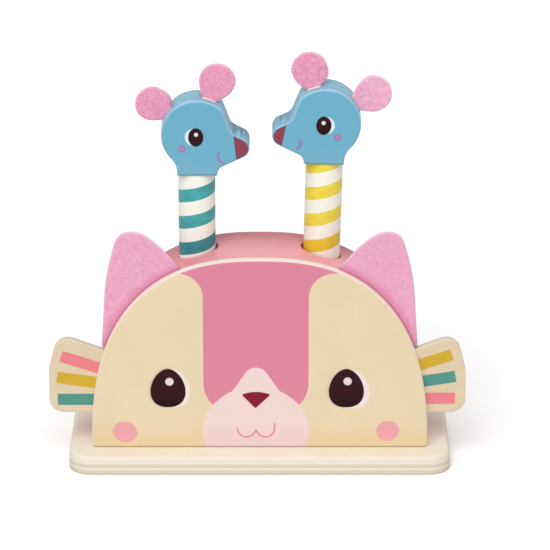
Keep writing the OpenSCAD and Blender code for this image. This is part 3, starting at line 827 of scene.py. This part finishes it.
def pegFinish(side, stand):
    # screw stripes: (height - start) / pitch less the share of a turn round the peg, cut to its fraction
    finish = Finish(side + "_peg_paint", Roughness=0.42)
    origin, across, up, back = stand
    u, w, d = (along(finish, origin, direction) for direction in (across, up, back))
    right = u if side == "left" else -u
    turns = d.math("ARCTAN2", right) / (2 * math.pi)
    start = (pegStripe[side] - origin[2]) / up[2]
    size, high = pegStripe["wobble"]
    wobble = (finish.noise(size, detail=3) - 0.5) * high
    phase = (w - float(start) + wobble) / pegStripe["pitch"] - turns + 1
    away = abs(phase.math("FRACT") - 0.5)
    band = (away - pegStripe["share"] / 2) * pegStripe["pitch"]
    paint = tones(pegPaint[side])
    cloud = finish.noise(*pegStripe["cloud"])
    ink = finish.mix(((cloud - 0.4) * 2).clamp(), paint["ink"], paint["inkShade"])
    # painted shade on the lowest bands, near the housing's hole
    ink = finish.mix(finish.z.ramp(*pegStripe["shadedBetween"]) * 0.7, ink, paint["inkInShade"])
    finish.feed("Base Color", finish.mix(inside(band, 0.35), paint["white"], ink))
    finish.bump(finish.noise(*pegStripe["fine"]), *pegStripe["relief"])
    return finish


headPaint = {
    "face": (112, 178, 204),
    "faceLow": (122, 182, 204),
    "side": (124, 184, 208),
    # the pale tone serves the snout's streaks and the painted highlight towards the front rim; the rear tone
    # serves the snout's darker back and painted shade along the rear rim
    "streakAndHighlight": (176, 212, 232),
    "rear": (30, 112, 142),
    "snout": (110, 172, 198),
    "grain": (0, 84, 116),
    "bare": (252, 242, 226),
    # the next tone is painted shade where the head meets the peg
    "neck": (40, 88, 104),
    "eye": (44, 0, 8),
    "white": (222, 240, 248),
    "glint": (238, 236, 236),
    "cheek": (196, 132, 168),
    "cheekRim": (126, 110, 170),
    "nose": (146, 66, 82),
    "noseRim": (92, 62, 96),
}
headPrint = {
    "shift": {"left": (0, 0), "right": (1.5, 0.3)},  # how far each print sits towards its snout, and up
    "eye": ((-0.1, 26.2), (4.9, 6.2)),
    "white": ((-1.35, 26.3), 5.8),
    "glint": ((0.1, 28), 1.3),
    "cheek": ((-9.1, 18.5), 1.85),
    # an arc's middle, radius, top and how far it runs towards the snout
    "smile": {"left": ((19.1, 13.5), 5, 15.6, 18), "right": ((19.2, 14.2), 4.6, 16.2, 16.8)},
    "pen": 0.6,
    "rim": 0.4,  # width of the purple line round cheek and smile
    # where the nose's patch starts at the snout's height, its lean, and its reach from the middle line
    "nose": {"left": (25.4, 0.12, 5.7), "right": (27.3, 0.18, 5.5)},
    "noseRim": 0.35,
    "lowFrom": 16,  # the face gets paler below this height
    "neck": (0.9, 0.9, 0.9),  # painted shade along the joint with the peg: its height, blur and share
    "faceFrom": 12.72,  # the print covers the flat faces only
    "cloud": 16,
    "relief": (0.07, 0.5),
}
# the brush, the saw, a painted highlight and painted shade on a head's edge: u runs towards the snout, w
# upwards and d to the back;
# each pair is where an effect starts and where it is full
headBrush = {
    "left": {"reach": 0.54, "strong": 1.0, "bright": 0.6},
    "right": {"reach": 0.5, "strong": 0.65, "bright": 0.3},
    "size": 1.5,
    # the next three place the painted highlight: towards the front, brighter up the crown, and its line
    # along the front rim
    "frontLightD": (-5.5, -12.5),
    "rimLightW": (12, 24.5),
    "rim": (12.1, 0.7),  # place and half width of the painted highlight line along the front rim
    "snoutU": (17, 17 + 1 / 0.3),
    "snoutLowW": (20, 22),
    "snoutHighW": (31, 31 - 1 / 0.35),
    "bluntU": (37, 37 - 1 / 0.11),  # the dark fades towards the nose
    "rearD": (-5, -5 + 1 / 0.09),
    "deepensD": (-9, -9 + 1 / 0.07),
    # painted shade along the rear rim
    "rearShadeD": (8.5, 8.5 + 1 / 0.3),
    "brush": (0.4, 0.6),
    "pale": (0.56, 0.685),
    "darkSoft": 0.125,
    # bare wood where the saw cut for an ear broke the paint out: half width and half depth
    "chip": {"top": (4.4, 5.9), "rear": (5.6, 3.5)},
    "chipFrom": 15,
}


def sawnEdge(finish, side, place, shape, ink):
    # the sawn edge of a head: a painted highlight broken by brush strokes towards the front rim, painted
    # shade at the back, streaked over the snout
    u, w, d = place
    brush, own = headBrush, headBrush[side]
    saw = finish.noise(brush["size"], (1, 1, 9), detail=2, rough=0.6, where=place)
    strokes = finish.noise(brush["size"], (6, 6, 1), detail=4, rough=0.65, where=place)
    # painted highlight: a pale line along the front rim, brighter up the crown, and pale strokes towards the
    # front
    rimAt, rimHalf = brush["rim"]
    rim = inside(abs(d + rimAt) - rimHalf, 0.8) * (w.ramp(*brush["rimLightW"]) * 0.5 + 0.32)
    paintedFrontLight = d.ramp(*brush["frontLightD"]) * strokes.ramp(*brush["brush"]) * 0.8
    colour = finish.mix(paintedFrontLight.atLeast(rim), ink["side"], ink["streakAndHighlight"])
    snout = u.ramp(*brush["snoutU"]) * w.ramp(*brush["snoutLowW"]) * w.ramp(*brush["snoutHighW"])
    blunt = u.ramp(*brush["bluntU"])
    colour = finish.mix(snout * 0.6 * (1 - rim), colour, ink["snout"])
    # the left snout is darker than the right one, most of all towards the back
    rear = snout * d.ramp(*brush["rearD"]) * blunt
    colour = finish.mix(rear * own["strong"] * 0.9, colour, ink["rear"])
    depth = (d.ramp(*brush["deepensD"]) * 0.7 + 0.3) * own["strong"]
    dark = saw.ramp(own["reach"], own["reach"] - brush["darkSoft"])
    colour = finish.mix(dark * (snout * depth * blunt + 0.03), colour, ink["grain"])
    colour = finish.mix(saw.ramp(*brush["pale"]) * (snout * own["bright"] + 0.04), colour, ink["streakAndHighlight"])
    # painted shade along the rear rim
    colour = finish.mix(d.ramp(*brush["rearShadeD"]) * (1 - snout * 0.5) * 0.7, colour, ink["rear"])
    for name, angle in shape["ears"].items():
        outward, away = (
            (u - shape["middle"][0]) * float(way[0]) + (w - shape["middle"][1]) * float(way[1])
            for way in (heading(angle), heading(angle - 90))
        )
        wide, deep = brush["chip"][name]
        chip = (abs(away) - wide).atLeast(abs(d) - deep).atLeast(brush["chipFrom"] - outward)
        colour = finish.mix(inside(chip, 0.5), colour, ink["bare"])
    return colour, saw


def snoutPatch(side, u, w, shape):
    # the nose: it follows the snout's two slopes and its round end; negative inside
    start, lean, reach = headPrint["nose"][side]
    snoutU, snoutW = u - shape["snoutReach"] + shape["snoutR"], w - shape["snoutZ"]
    out = heading(90 - (shape["snout"] + shape["chin"]) / 2)
    away = snoutU * float(out[0]) + abs(snoutW) * float(out[1])
    ahead = (snoutU * float(out[1]) - abs(snoutW) * float(out[0])).atLeast(0)
    return (start - u - snoutW * lean).atLeast(length(away, ahead) - reach)


def headFinish(side, stand, neck, shape):
    finish = Finish(side + "_mouse_paint", Roughness=0.36, Specular_IOR_Level=0.2)
    origin, across, up, back = stand
    u, w, d = (along(finish, origin, direction) for direction in (across, up, back))
    w = w - neck
    ink = tones(headPaint)
    sawn, saw = sawnEdge(finish, side, (u, w, d), shape, ink)
    cloud = finish.noise(headPrint["cloud"])
    low = headPrint["lowFrom"]
    face = finish.mix(((low - w) / low + (cloud - 0.5)).clamp(), ink["face"], ink["faceLow"])
    right, high = headPrint["shift"][side]
    pu, pw = u - right, w - high
    (whiteU, whiteW), whiteR = headPrint["white"]
    face = finish.mix(inside(length(pu - whiteU, pw - whiteW) - whiteR, 0.5), face, ink["white"])
    face = finish.mix(inside(ellipse(pu, pw, *headPrint["eye"]), 0.4), face, ink["eye"])
    (glintU, glintW), glintR = headPrint["glint"]
    face = finish.mix(inside(length(pu - glintU, pw - glintW) - glintR, 0.5), face, ink["glint"])
    (cheekU, cheekW), cheekR = headPrint["cheek"]
    cheek = length(pu - cheekU, pw - cheekW) - cheekR
    (smileU, smileW), smileR, top, smileEnd = headPrint["smile"][side]
    ring = abs(length(pu - smileU, pw - smileW) - smileR) - headPrint["pen"] / 2
    smile = ring.atLeast(pw - top).atLeast(pu - smileEnd)
    for mark in (cheek, smile):
        face = finish.mix(inside(mark - headPrint["rim"], 0.4), face, ink["cheekRim"])
        face = finish.mix(inside(mark, 0.4), face, ink["cheek"])
    nose = snoutPatch(side, u, w, shape)
    face = finish.mix(inside(nose - headPrint["noseRim"], 0.3), face, ink["noseRim"])
    face = finish.mix(inside(nose, 0.3), face, ink["nose"])
    # painted shade where the head meets the peg
    high, blur, share = headPrint["neck"]
    face = finish.mix(inside(w - high, blur) * share, face, ink["neck"])
    isFace = inside(headPrint["faceFrom"] - abs(d), 0.4)
    finish.feed("Base Color", finish.mix(isFace, sawn, face))
    finish.bump(saw * 0.6 + cloud * 0.4, *headPrint["relief"])
    return finish


rawGrain = {"grain": (1.0, (1, 1, 12), 0.7), "relief": (0.08, 0.5)}  # grain: size, stretch and share


def rawWood(name, light, dark):
    finish = Finish(name, Roughness=0.6)
    colour, streak = woodGrain(finish, tone(*light), tone(*dark), *rawGrain["grain"])
    finish.feed("Base Color", colour)
    finish.bump(streak, *rawGrain["relief"])
    return finish


steelScratch = {"size": 0.5, "stretch": (1, 1, 6), "dark": 0.86, "rough": 0.15}


def steelFinish(name, light, rough):
    # drawn steel: fine scratches darken its tone and dull its gloss
    finish = Finish(name, Metallic=1.0)
    scratch = finish.noise(steelScratch["size"], steelScratch["stretch"], detail=3)
    dark = tone(*(np.array(light) * steelScratch["dark"]))
    finish.feed("Base Color", finish.mix(scratch, tone(*light), dark))
    finish.feed("Roughness", scratch * steelScratch["rough"] + rough)
    return finish


board = {
    "corner": 15,
    "edge": 3.5,
    "rim": 0.9,
    "sink": ((3.75, 0), (3.75, 0.25), (2, 2)),  # radius and height of each countersink's rings
    "sinkSides": 36,
    "screwSpread": 14,  # a corner block's screws stand this far before and behind the pegs' middle
}
panel = {"halfWide": 110, "power": 2.5, "foot": 2.5, "rims": (1.2, 0.5)}
housingRims = (0.5, 9)  # at the seam and at the back


def screwPlaces():
    # two screws in each corner block and one in the middle of each spring seat
    places = []
    for side in ("left", "right"):
        block, seat = (sum(boxOf(side + part)) / 2 for part in ("_corner_block", "_spring_seat"))
        spread = board["screwSpread"]
        places += [(block[0], seat[1] - spread), (block[0], seat[1] + spread), (seat[0], seat[1])]
    return np.array(places)


def sinkScrews(points, sides, caps):
    # a countersink round each screw's head: circles joined by quads, closed at their upper end,
    # and cut out of the board's underside, whose remains are filled with triangles
    count = board["sinkSides"]
    circle = arc((0, 0), 1, 0, 360, count)[:-1]
    walls, ends = ringFaces(len(board["sink"]), count)
    faces, loops, used = [*sides, caps[1]], [points[caps[0]]], [caps[0]]
    for place in screwPlaces():
        rings = [
            np.column_stack([place + circle * radius, np.full(count, high)])
            for radius, high in board["sink"]
        ]
        faces += [*(walls + len(points)), ends[1] + len(points)]
        loops.append(rings[0])
        used.append(len(points) + ends[0])
        points = np.concatenate([points, *rings])
    fill = np.concatenate(used)[np.array(tessellate_polygon([loop.tolist() for loop in loops]))]
    first, second, third = (points[fill[:, k]] for k in range(3))
    isUp = np.cross(second - first, third - first)[:, 2] > 0
    fill[isUp] = fill[isUp][:, ::-1]
    return points, [*faces, *fill]


def baseBoard():
    wide, deep = (boardHigh - boardLow)[:2] / 2
    corners = ((wide, -deep), (wide, deep), (-wide, deep), (-wide, -deep))
    outline = roundOutline([(*corner, board["corner"]) for corner in corners])
    profile = rimProfile(boardTop, board["rim"], board["edge"], count=6)
    points, sides, caps = slab(insetOf(outline), profile, (0, 0, 0), east, north, skyward)
    points, faces = sinkScrews(points, sides, caps)
    makePiece("base_board_ply", points, faces, "housing", ["base_board"], [boardFinish(boardTop)])


def panelOutline(part):
    # the arch with its two feet rounded, drawn in by part on every side
    points = arch(panel["halfWide"] - part, panelHigh[2] - boardTop - part, panel["power"])
    points[[0, -1], 1] = part
    foot = panel["foot"] - part
    right = roundCorner(points[-1], points[0], points[1], foot, 6)
    left = roundCorner(points[-2], points[-1], points[0], foot, 6)
    return np.concatenate([right, points[1:-1], left])


def frontPanel():
    finish = panelFinish(panelLow[1])
    standingPiece("front_panel", "front_panel_printed", finish, panelOutline, panel["rims"], 5)


def backBoard(finish):
    def outlineAt(part):
        return arch(backHigh[0] - part, backHigh[2] - boardTop - part, panel["power"])

    standingPiece("back_board", "back_board_painted", finish, outlineAt, housingRims, 8)


earShape = {
    "side": 51,  # the hidden inner edge
    "low": 68,
    "root": 121,
    "tip": (85, 147),
    "spread": 18,  # the outer foot lies this far outside the tip
    # bends round the tip: how far outside and above it, and their radius
    "bends": ((14.8, -29, 140), (6.5, -0.6, 10), (-7, 0.2, 18), (-20.5, -9.3, 70)),
    "rims": (1.3, 1.3),
    "sideHighlightStart": 0.7,  # the painted highlight on the ear's side starts this far behind the front
}


def catEarOutline():
    side, low, root = (earShape[key] for key in ("side", "low", "root"))
    tipX, tipZ = earShape["tip"]
    bends = [(tipX + out, tipZ + above, radius) for out, above, radius in earShape["bends"]]
    return roundOutline([(side, low, 0), (tipX + earShape["spread"], low, 0), *bends, (side, root, 0)])


def catEar(side, finish):
    outline = catEarOutline()
    node, across = side + "_cat_ear", east if side == "right" else -east
    piece = standingPiece(
        node, node + "_felt", finish, insetOf(outline), earShape["rims"], across=across
    )


finShape = {
    "reach": {"left": 137.9, "right": 134.7},
    "root": 88,  # the hidden inner edge
    "low": 22,
    "high": 76.4,
    "slope": 20.5,
    "corner": 9.5,
    "drop": 24,
    "in": 6.5,
    "sideR": 30,
    "rims": (0.8, 0.8),
}


def fin(side):
    # a fan: level below, sloping above, and bent inwards towards its upper corner
    reach, root, low, high, corner = (finShape[key] for key in ("reach", "root", "low", "high", "corner"))
    reach = reach[side]
    top = reach - finShape["in"]
    rootHigh = high - (top - root) * math.tan(math.radians(finShape["slope"]))
    bend = (reach, high - finShape["drop"], finShape["sideR"])
    outer = [(reach, low, corner), bend, (top, high, corner)]
    outline = roundOutline([(root, low, 0), *outer, (root, rootHigh, 0)])
    node, across = side + "_fin", east if side == "right" else -east
    finish = finFinish(side, boxOf(node)[0][1])
    standingPiece(
        node, node + "_striped", finish, insetOf(outline), finShape["rims"], across=across
    )


pegShape = {"d": 24, "rim": 0.8, "sides": 96}


def standOf(side):
    # a mouse's own frame: its origin on the foot, then towards the snout, along the peg and to the back
    turn = joints[side + "_turn"]
    up = np.array(turn["axis"], float)
    up /= np.linalg.norm(up)
    low, high = boxOf(side + "_peg")
    edge = pegShape["d"] / 2 * abs(up[0])
    point = np.array(turn["pos_m"]) / mm
    origin = point + up * ((low[2] + edge - point[2]) / up[2])
    neck = (high[2] - low[2] - 2 * edge) / up[2]
    across = np.cross(north, up) * (1 if side == "left" else -1)
    return (origin, across, up, north), neck


def peg(side, stand, neck):
    origin, across, up, back = stand
    radius = pegShape["d"] / 2
    circle = arc((0, 0), 1, 0, 360, pegShape["sides"])[:-1]
    profile = rimProfile(neck, pegShape["rim"], pegShape["rim"])
    points, sides, caps = slab(lambda part: circle * (radius - part), profile, origin, across, back, up)
    finish = pegFinish(side, stand)
    slot = "teal_striped_peg" if side == "left" else "yellow_striped_peg"
    node = side + "_peg"
    makePiece(node + "_striped", points, [*sides, *caps], side + "_mouse", [node], [finish])


headShape = {
    "thick": 26,
    "radius": 23.2,
    "middle": (0.6, 27.3),
    "neck": 26,
    "snoutR": 6.7,
    "snoutReach": 34.4,
    "snoutZ": 18.6,
    "chin": 25,
    "snout": 27,
    "brow": 6,
    "forehead": (7.3, 21, 51.5),  # radius of its turn, its slope, and where the turn leaves the crown
    "nape": 13,
    "throat": 6,
    "rim": 1.5,
    "slotWide": 12.6,
    "slotThick": 4.9,
    "slotDeep": 9,
    "slotFree": 0.2,  # between an ear's tab and the slot's floor
    "ears": {"top": 70, "rear": 149.5},
    "earR": 11.5,
    "earWave": ((3, 0.012), (5, 0.008)),  # waves round an ear's cut edge, and their share of its radius
    "earReach": 34.9,
    "earWide": 10.8,
    "earThick": 3.5,
    "earRim": 1.3,
}


def headOutline():
    # the side view of a head from the throat round by the snout, the crown and the nape, as tangent arcs,
    # and the first and last point of each ear's slot
    shape = headShape
    middle = np.array(shape["middle"])
    steps = 12  # in each arc
    nose = np.array([shape["snoutReach"] - shape["snoutR"], shape["snoutZ"]])
    front, back = (shape["middle"][0] + sign * shape["neck"] / 2 for sign in (1, -1))
    turnR, foreheadSlope, turnFrom = shape["forehead"]
    turn = middle + (shape["radius"] - turnR) * heading(turnFrom)
    forehead = turn + turnR * heading(foreheadSlope)
    square = heading(90 - shape["snout"])
    snout = nose + shape["snoutR"] * square
    # the forehead's line runs down along this way until it meets the snout's upper side
    way = heading(foreheadSlope - 90)
    brow = forehead + way * ((snout - forehead) @ square) / (way @ square)
    napeX = -shape["neck"] / 2 - shape["nape"]
    napeZ = -math.sqrt((shape["radius"] + shape["nape"]) ** 2 - napeX**2)
    atNape = 360 + math.degrees(math.atan2(napeZ, napeX))
    slope = math.radians(shape["chin"])
    chin = nose + shape["snoutR"] * np.array([math.sin(slope), -math.cos(slope)])
    throat = (front, chin[1] - (chin[0] - front) * math.tan(slope))
    halfSlot = math.degrees(math.asin(shape["slotWide"] / 2 / shape["radius"]))
    slots = [(angle - halfSlot, angle + halfSlot) for angle in shape["ears"].values()]
    stops = [turnFrom, *sum(slots, ()), atNape]
    parts = [
        np.array([[front, 0]]),
        roundCorner((front, 0), throat, chin, shape["throat"]),
        arc(nose, shape["snoutR"], shape["chin"] - 90, 90 - shape["snout"], steps + 2),
        roundCorner(snout, brow, forehead, shape["brow"], steps),
        arc(turn, turnR, foreheadSlope, turnFrom, steps),
        *(arc(middle, shape["radius"], *ends, steps)[1:] for ends in zip(stops, stops[1:])),
        arc(middle + [napeX, napeZ], shape["nape"], atNape - 180, 0, steps)[1:],
        np.array([[back, 0]]),
    ]
    outline = tidy(np.concatenate(parts))
    angles = np.degrees(np.arctan2(*(outline - middle).T[::-1]))
    onCrown = abs(np.linalg.norm(outline - middle, axis=1) - shape["radius"]) < samePlace
    angles = np.where(onCrown, angles, np.inf)
    return outline, [[int(np.argmin(abs(angles - end))) for end in ends] for ends in slots]


def head(side, stand, neck, wood):
    shape = headShape
    origin, across, up, back = stand
    outline, slots = headOutline()
    half = shape["thick"] / 2
    lines = [half + sign * shape["slotThick"] / 2 for sign in (-1, 1)]
    profile = rimProfile(shape["thick"], shape["rim"], shape["rim"], middle=lines)
    start = origin + up * neck - back * half
    points, sides, caps = slab(insetOf(outline), profile, start, across, up, back)
    row = int(np.argmin(abs(profile[:, 1] - lines[0])))
    ring, column = np.divmod(np.arange(len(sides)), len(outline))
    centre = start + across * shape["middle"][0] + up * shape["middle"][1]
    kept = np.ones(len(sides), bool)
    sunk = []
    # each saw cut: its opening is taken out of the crown and sunk to a flat floor
    for (first, last), angle in zip(slots, shape["ears"].values()):
        window = (ring == row) & (column >= first) & (column < last)
        kept &= ~window
        opening = sides[window]
        used = np.unique(opening)
        out = heading(angle)
        outward = across * out[0] + up * out[1]
        depth = (points[used] - centre) @ outward - (shape["radius"] - shape["slotDeep"])
        floor = np.zeros(len(points), int)
        floor[used] = len(points) + np.arange(len(used))
        points = np.concatenate([points, points[used] - depth[:, None] * outward])
        edges = rimEdges(opening)
        sunk += [*floor[opening], *np.column_stack([edges, floor[edges[:, 1]], floor[edges[:, 0]]])]
    painted = [*sides[kept], *caps]
    kinds = [0] * len(painted) + [1] * len(sunk)
    finishes = [headFinish(side, stand, neck, shape), wood]
    node = side + "_head"
    makePiece(
        node + "_painted", points, painted + sunk, side + "_mouse", [node], finishes, kinds
    )


# how each hand-cut ear differs from the round one: shifted right and up, wider in radius,
# swollen by a share near its foot on either side, and its foot off the middle
earTrim = {
    "left_top": {"shift": (1.1, 0), "wider": 0.2, "swell": (0.02, 0.02), "foot": 0.3},
    "left_rear": {"shift": (1.3, -0.1), "wider": -0.3, "swell": (0.13, 0.0), "foot": 0.4},
    "right_top": {"shift": (1.0, 0.1), "wider": 0, "swell": (0.06, 0.12), "foot": 0},
    "right_rear": {"shift": (0.8, 0.1), "wider": 0.3, "swell": (0.0, 0.06), "foot": -0.4},
}


def mouseEarOutline(shift, trim):
    # a disc whose sides run straight into a tab: r (1 + 0.012 sin 3t + 0.008 sin 5t + s) round its middle,
    # where s = swell |sin 2t| below the middle; each side leaves the tab's corner as far out as it can
    shape = headShape
    half = shape["earWide"] / 2
    mouth = shape["earReach"] - math.sqrt(shape["radius"] ** 2 - (shape["slotWide"] / 2) ** 2)
    end = shape["earReach"] - shape["radius"] + shape["slotDeep"] - shape["slotFree"]
    angle = np.radians(np.arange(-90, 270, 4))
    c, s = np.cos(angle), np.sin(angle)
    swell = np.where(c > 0, *trim["swell"]) * np.maximum(-s, 0) * abs(c) * 2
    wave = sum(share * np.sin(times * angle) for times, share in shape["earWave"])
    reach = (1 + wave + swell) * (shape["earR"] + trim["wider"])
    disc = shift + reach[:, None] * np.stack([c, s], 1)
    right, left = trim["foot"] + half, trim["foot"] - half
    third = len(disc) // 3
    rising, falling = disc[:third], disc[::-1][:third]
    first = np.argmax(np.arctan2(rising[:, 0] - right, rising[:, 1] + mouth))
    last = len(disc) - np.argmax(np.arctan2(left - falling[:, 0], falling[:, 1] + mouth))
    foot, heel = [[right, -end], [right, -mouth]], [[left, -mouth], [left, -end]]
    return tidy(np.concatenate([foot, disc[first:last], heel]))


def mouseEar(side, name, stand, neck, finish):
    shape = headShape
    origin, across, up, back = stand
    c, s = heading(shape["ears"][name])
    outward, sideways = across * c + up * s, across * s - up * c
    trim = earTrim[f"{side}_{name}"]
    shift = east * trim["shift"][0] + skyward * trim["shift"][1]
    outline = mouseEarOutline(np.array([shift @ sideways, shift @ outward]), trim)
    start = origin + up * (neck + shape["middle"][1]) + across * shape["middle"][0]
    start = start + outward * shape["earReach"] - back * shape["earThick"] / 2
    profile = rimProfile(shape["earThick"], shape["earRim"], shape["earRim"])
    points, sides, caps = slab(insetOf(outline), profile, start, sideways, outward, back)
    node = f"{side}_{name}_ear"
    body = side + "_mouse"
    piece = makePiece(node + "_felt", points, [*sides, *caps], body, [node], [finish])


springShape = {
    "d": 22,
    "wire": 1.8,
    "turns": 9,
    "closedGap": 0.6,
    "perTurn": 32,
    "sides": 12,
    "spare": 4,  # the stretch starts and ends this far outside the wire
}


def spring(side, finish):
    # a ring of the wire's points carried along a helix: (r cos t, r sin t, height(t)), where the height
    # rises evenly apart from one closed turn at each end
    shape = springShape
    low, high = boxOf(side + "_spring")
    tall = high[2] - low[2]
    closed = shape["wire"] + shape["closedGap"]
    turns = np.linspace(0, shape["turns"], shape["turns"] * shape["perTurn"] + 1)
    knots = [0, 1, shape["turns"] - 1, shape["turns"]]
    rise = tall - shape["wire"]
    height = np.interp(turns, knots, [0, closed, rise - closed, rise])
    radius = (shape["d"] - shape["wire"]) / 2
    angle = 2 * np.pi * turns
    out = np.stack([np.cos(angle), np.sin(angle), 0 * angle], 1)
    middle = out * radius + (height + shape["wire"] / 2)[:, None] * skyward
    ahead = np.gradient(middle, axis=0)
    ahead /= np.linalg.norm(ahead, axis=1)[:, None]
    lift = np.cross(out, ahead)
    spin = np.linspace(0, 2 * np.pi, shape["sides"], endpoint=False)[None, :, None]
    tube = middle[:, None] + shape["wire"] / 2 * (np.cos(spin) * out[:, None] + np.sin(spin) * lift[:, None])
    centre = (low + high) / 2
    points = tube.reshape(-1, 3) + [centre[0], centre[1], low[2]]
    sides, caps = ringFaces(len(turns), shape["sides"])
    node = side + "_spring"
    piece = makePiece(node + "_wire", points, [*sides, *caps], None, [node], [finish])
    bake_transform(piece)


def dress(names, finish):
    for name in names:
        mesh = nodes[name].data
        mesh.materials.clear()
        mesh.materials.append(finish.material)


setCamera()
setStudio()
floorPiece()
print("camera and studio set")

salmon = salmonFinish()
baseBoard()
frontPanel()
backBoard(salmon)
dress(["arch_cover"], salmon)
print("housing done")

catFelt = feltFinish("cat_felt", "cat", float(boxOf("left_cat_ear")[0][1]) + earShape["sideHighlightStart"])
mouseFelt = feltFinish("mouse_felt", "mouse")
paleFelt = feltFinish("pale_mouse_felt", "paleMouse")
for side in ("left", "right"):
    catEar(side, catFelt)
    fin(side)
print("ears and fins done")

cutWood = rawWood("cut_wood", (246, 232, 210), (222, 196, 160))
for side in ("left", "right"):
    stand, neck = standOf(side)
    peg(side, stand, neck)
    head(side, stand, neck, cutWood)
    for name in headShape["ears"]:
        felt = paleFelt if (side, name) == ("right", "rear") else mouseFelt
        mouseEar(side, name, stand, neck, felt)
print("mice done")

innerWood = rawWood("inner_wood", (226, 199, 156), (198, 162, 112))
steel = steelFinish("zinc_steel", (190, 192, 196), 0.27)
springSteel = steelFinish("spring_steel", (168, 170, 174), 0.21)
for side in ("left", "right"):
    spring(side, springSteel)
    dress([side + "_foot_screw"], steel)
    woodParts = ("_corner_block", "_spring_seat", "_spring_cap", "_foot", "_neck_pin")
    dress([side + part for part in woodParts], innerWood)
dress(["guide_block", "panel_pins"], innerWood)
dress(["base_screws"], steel)
print("works inside done")
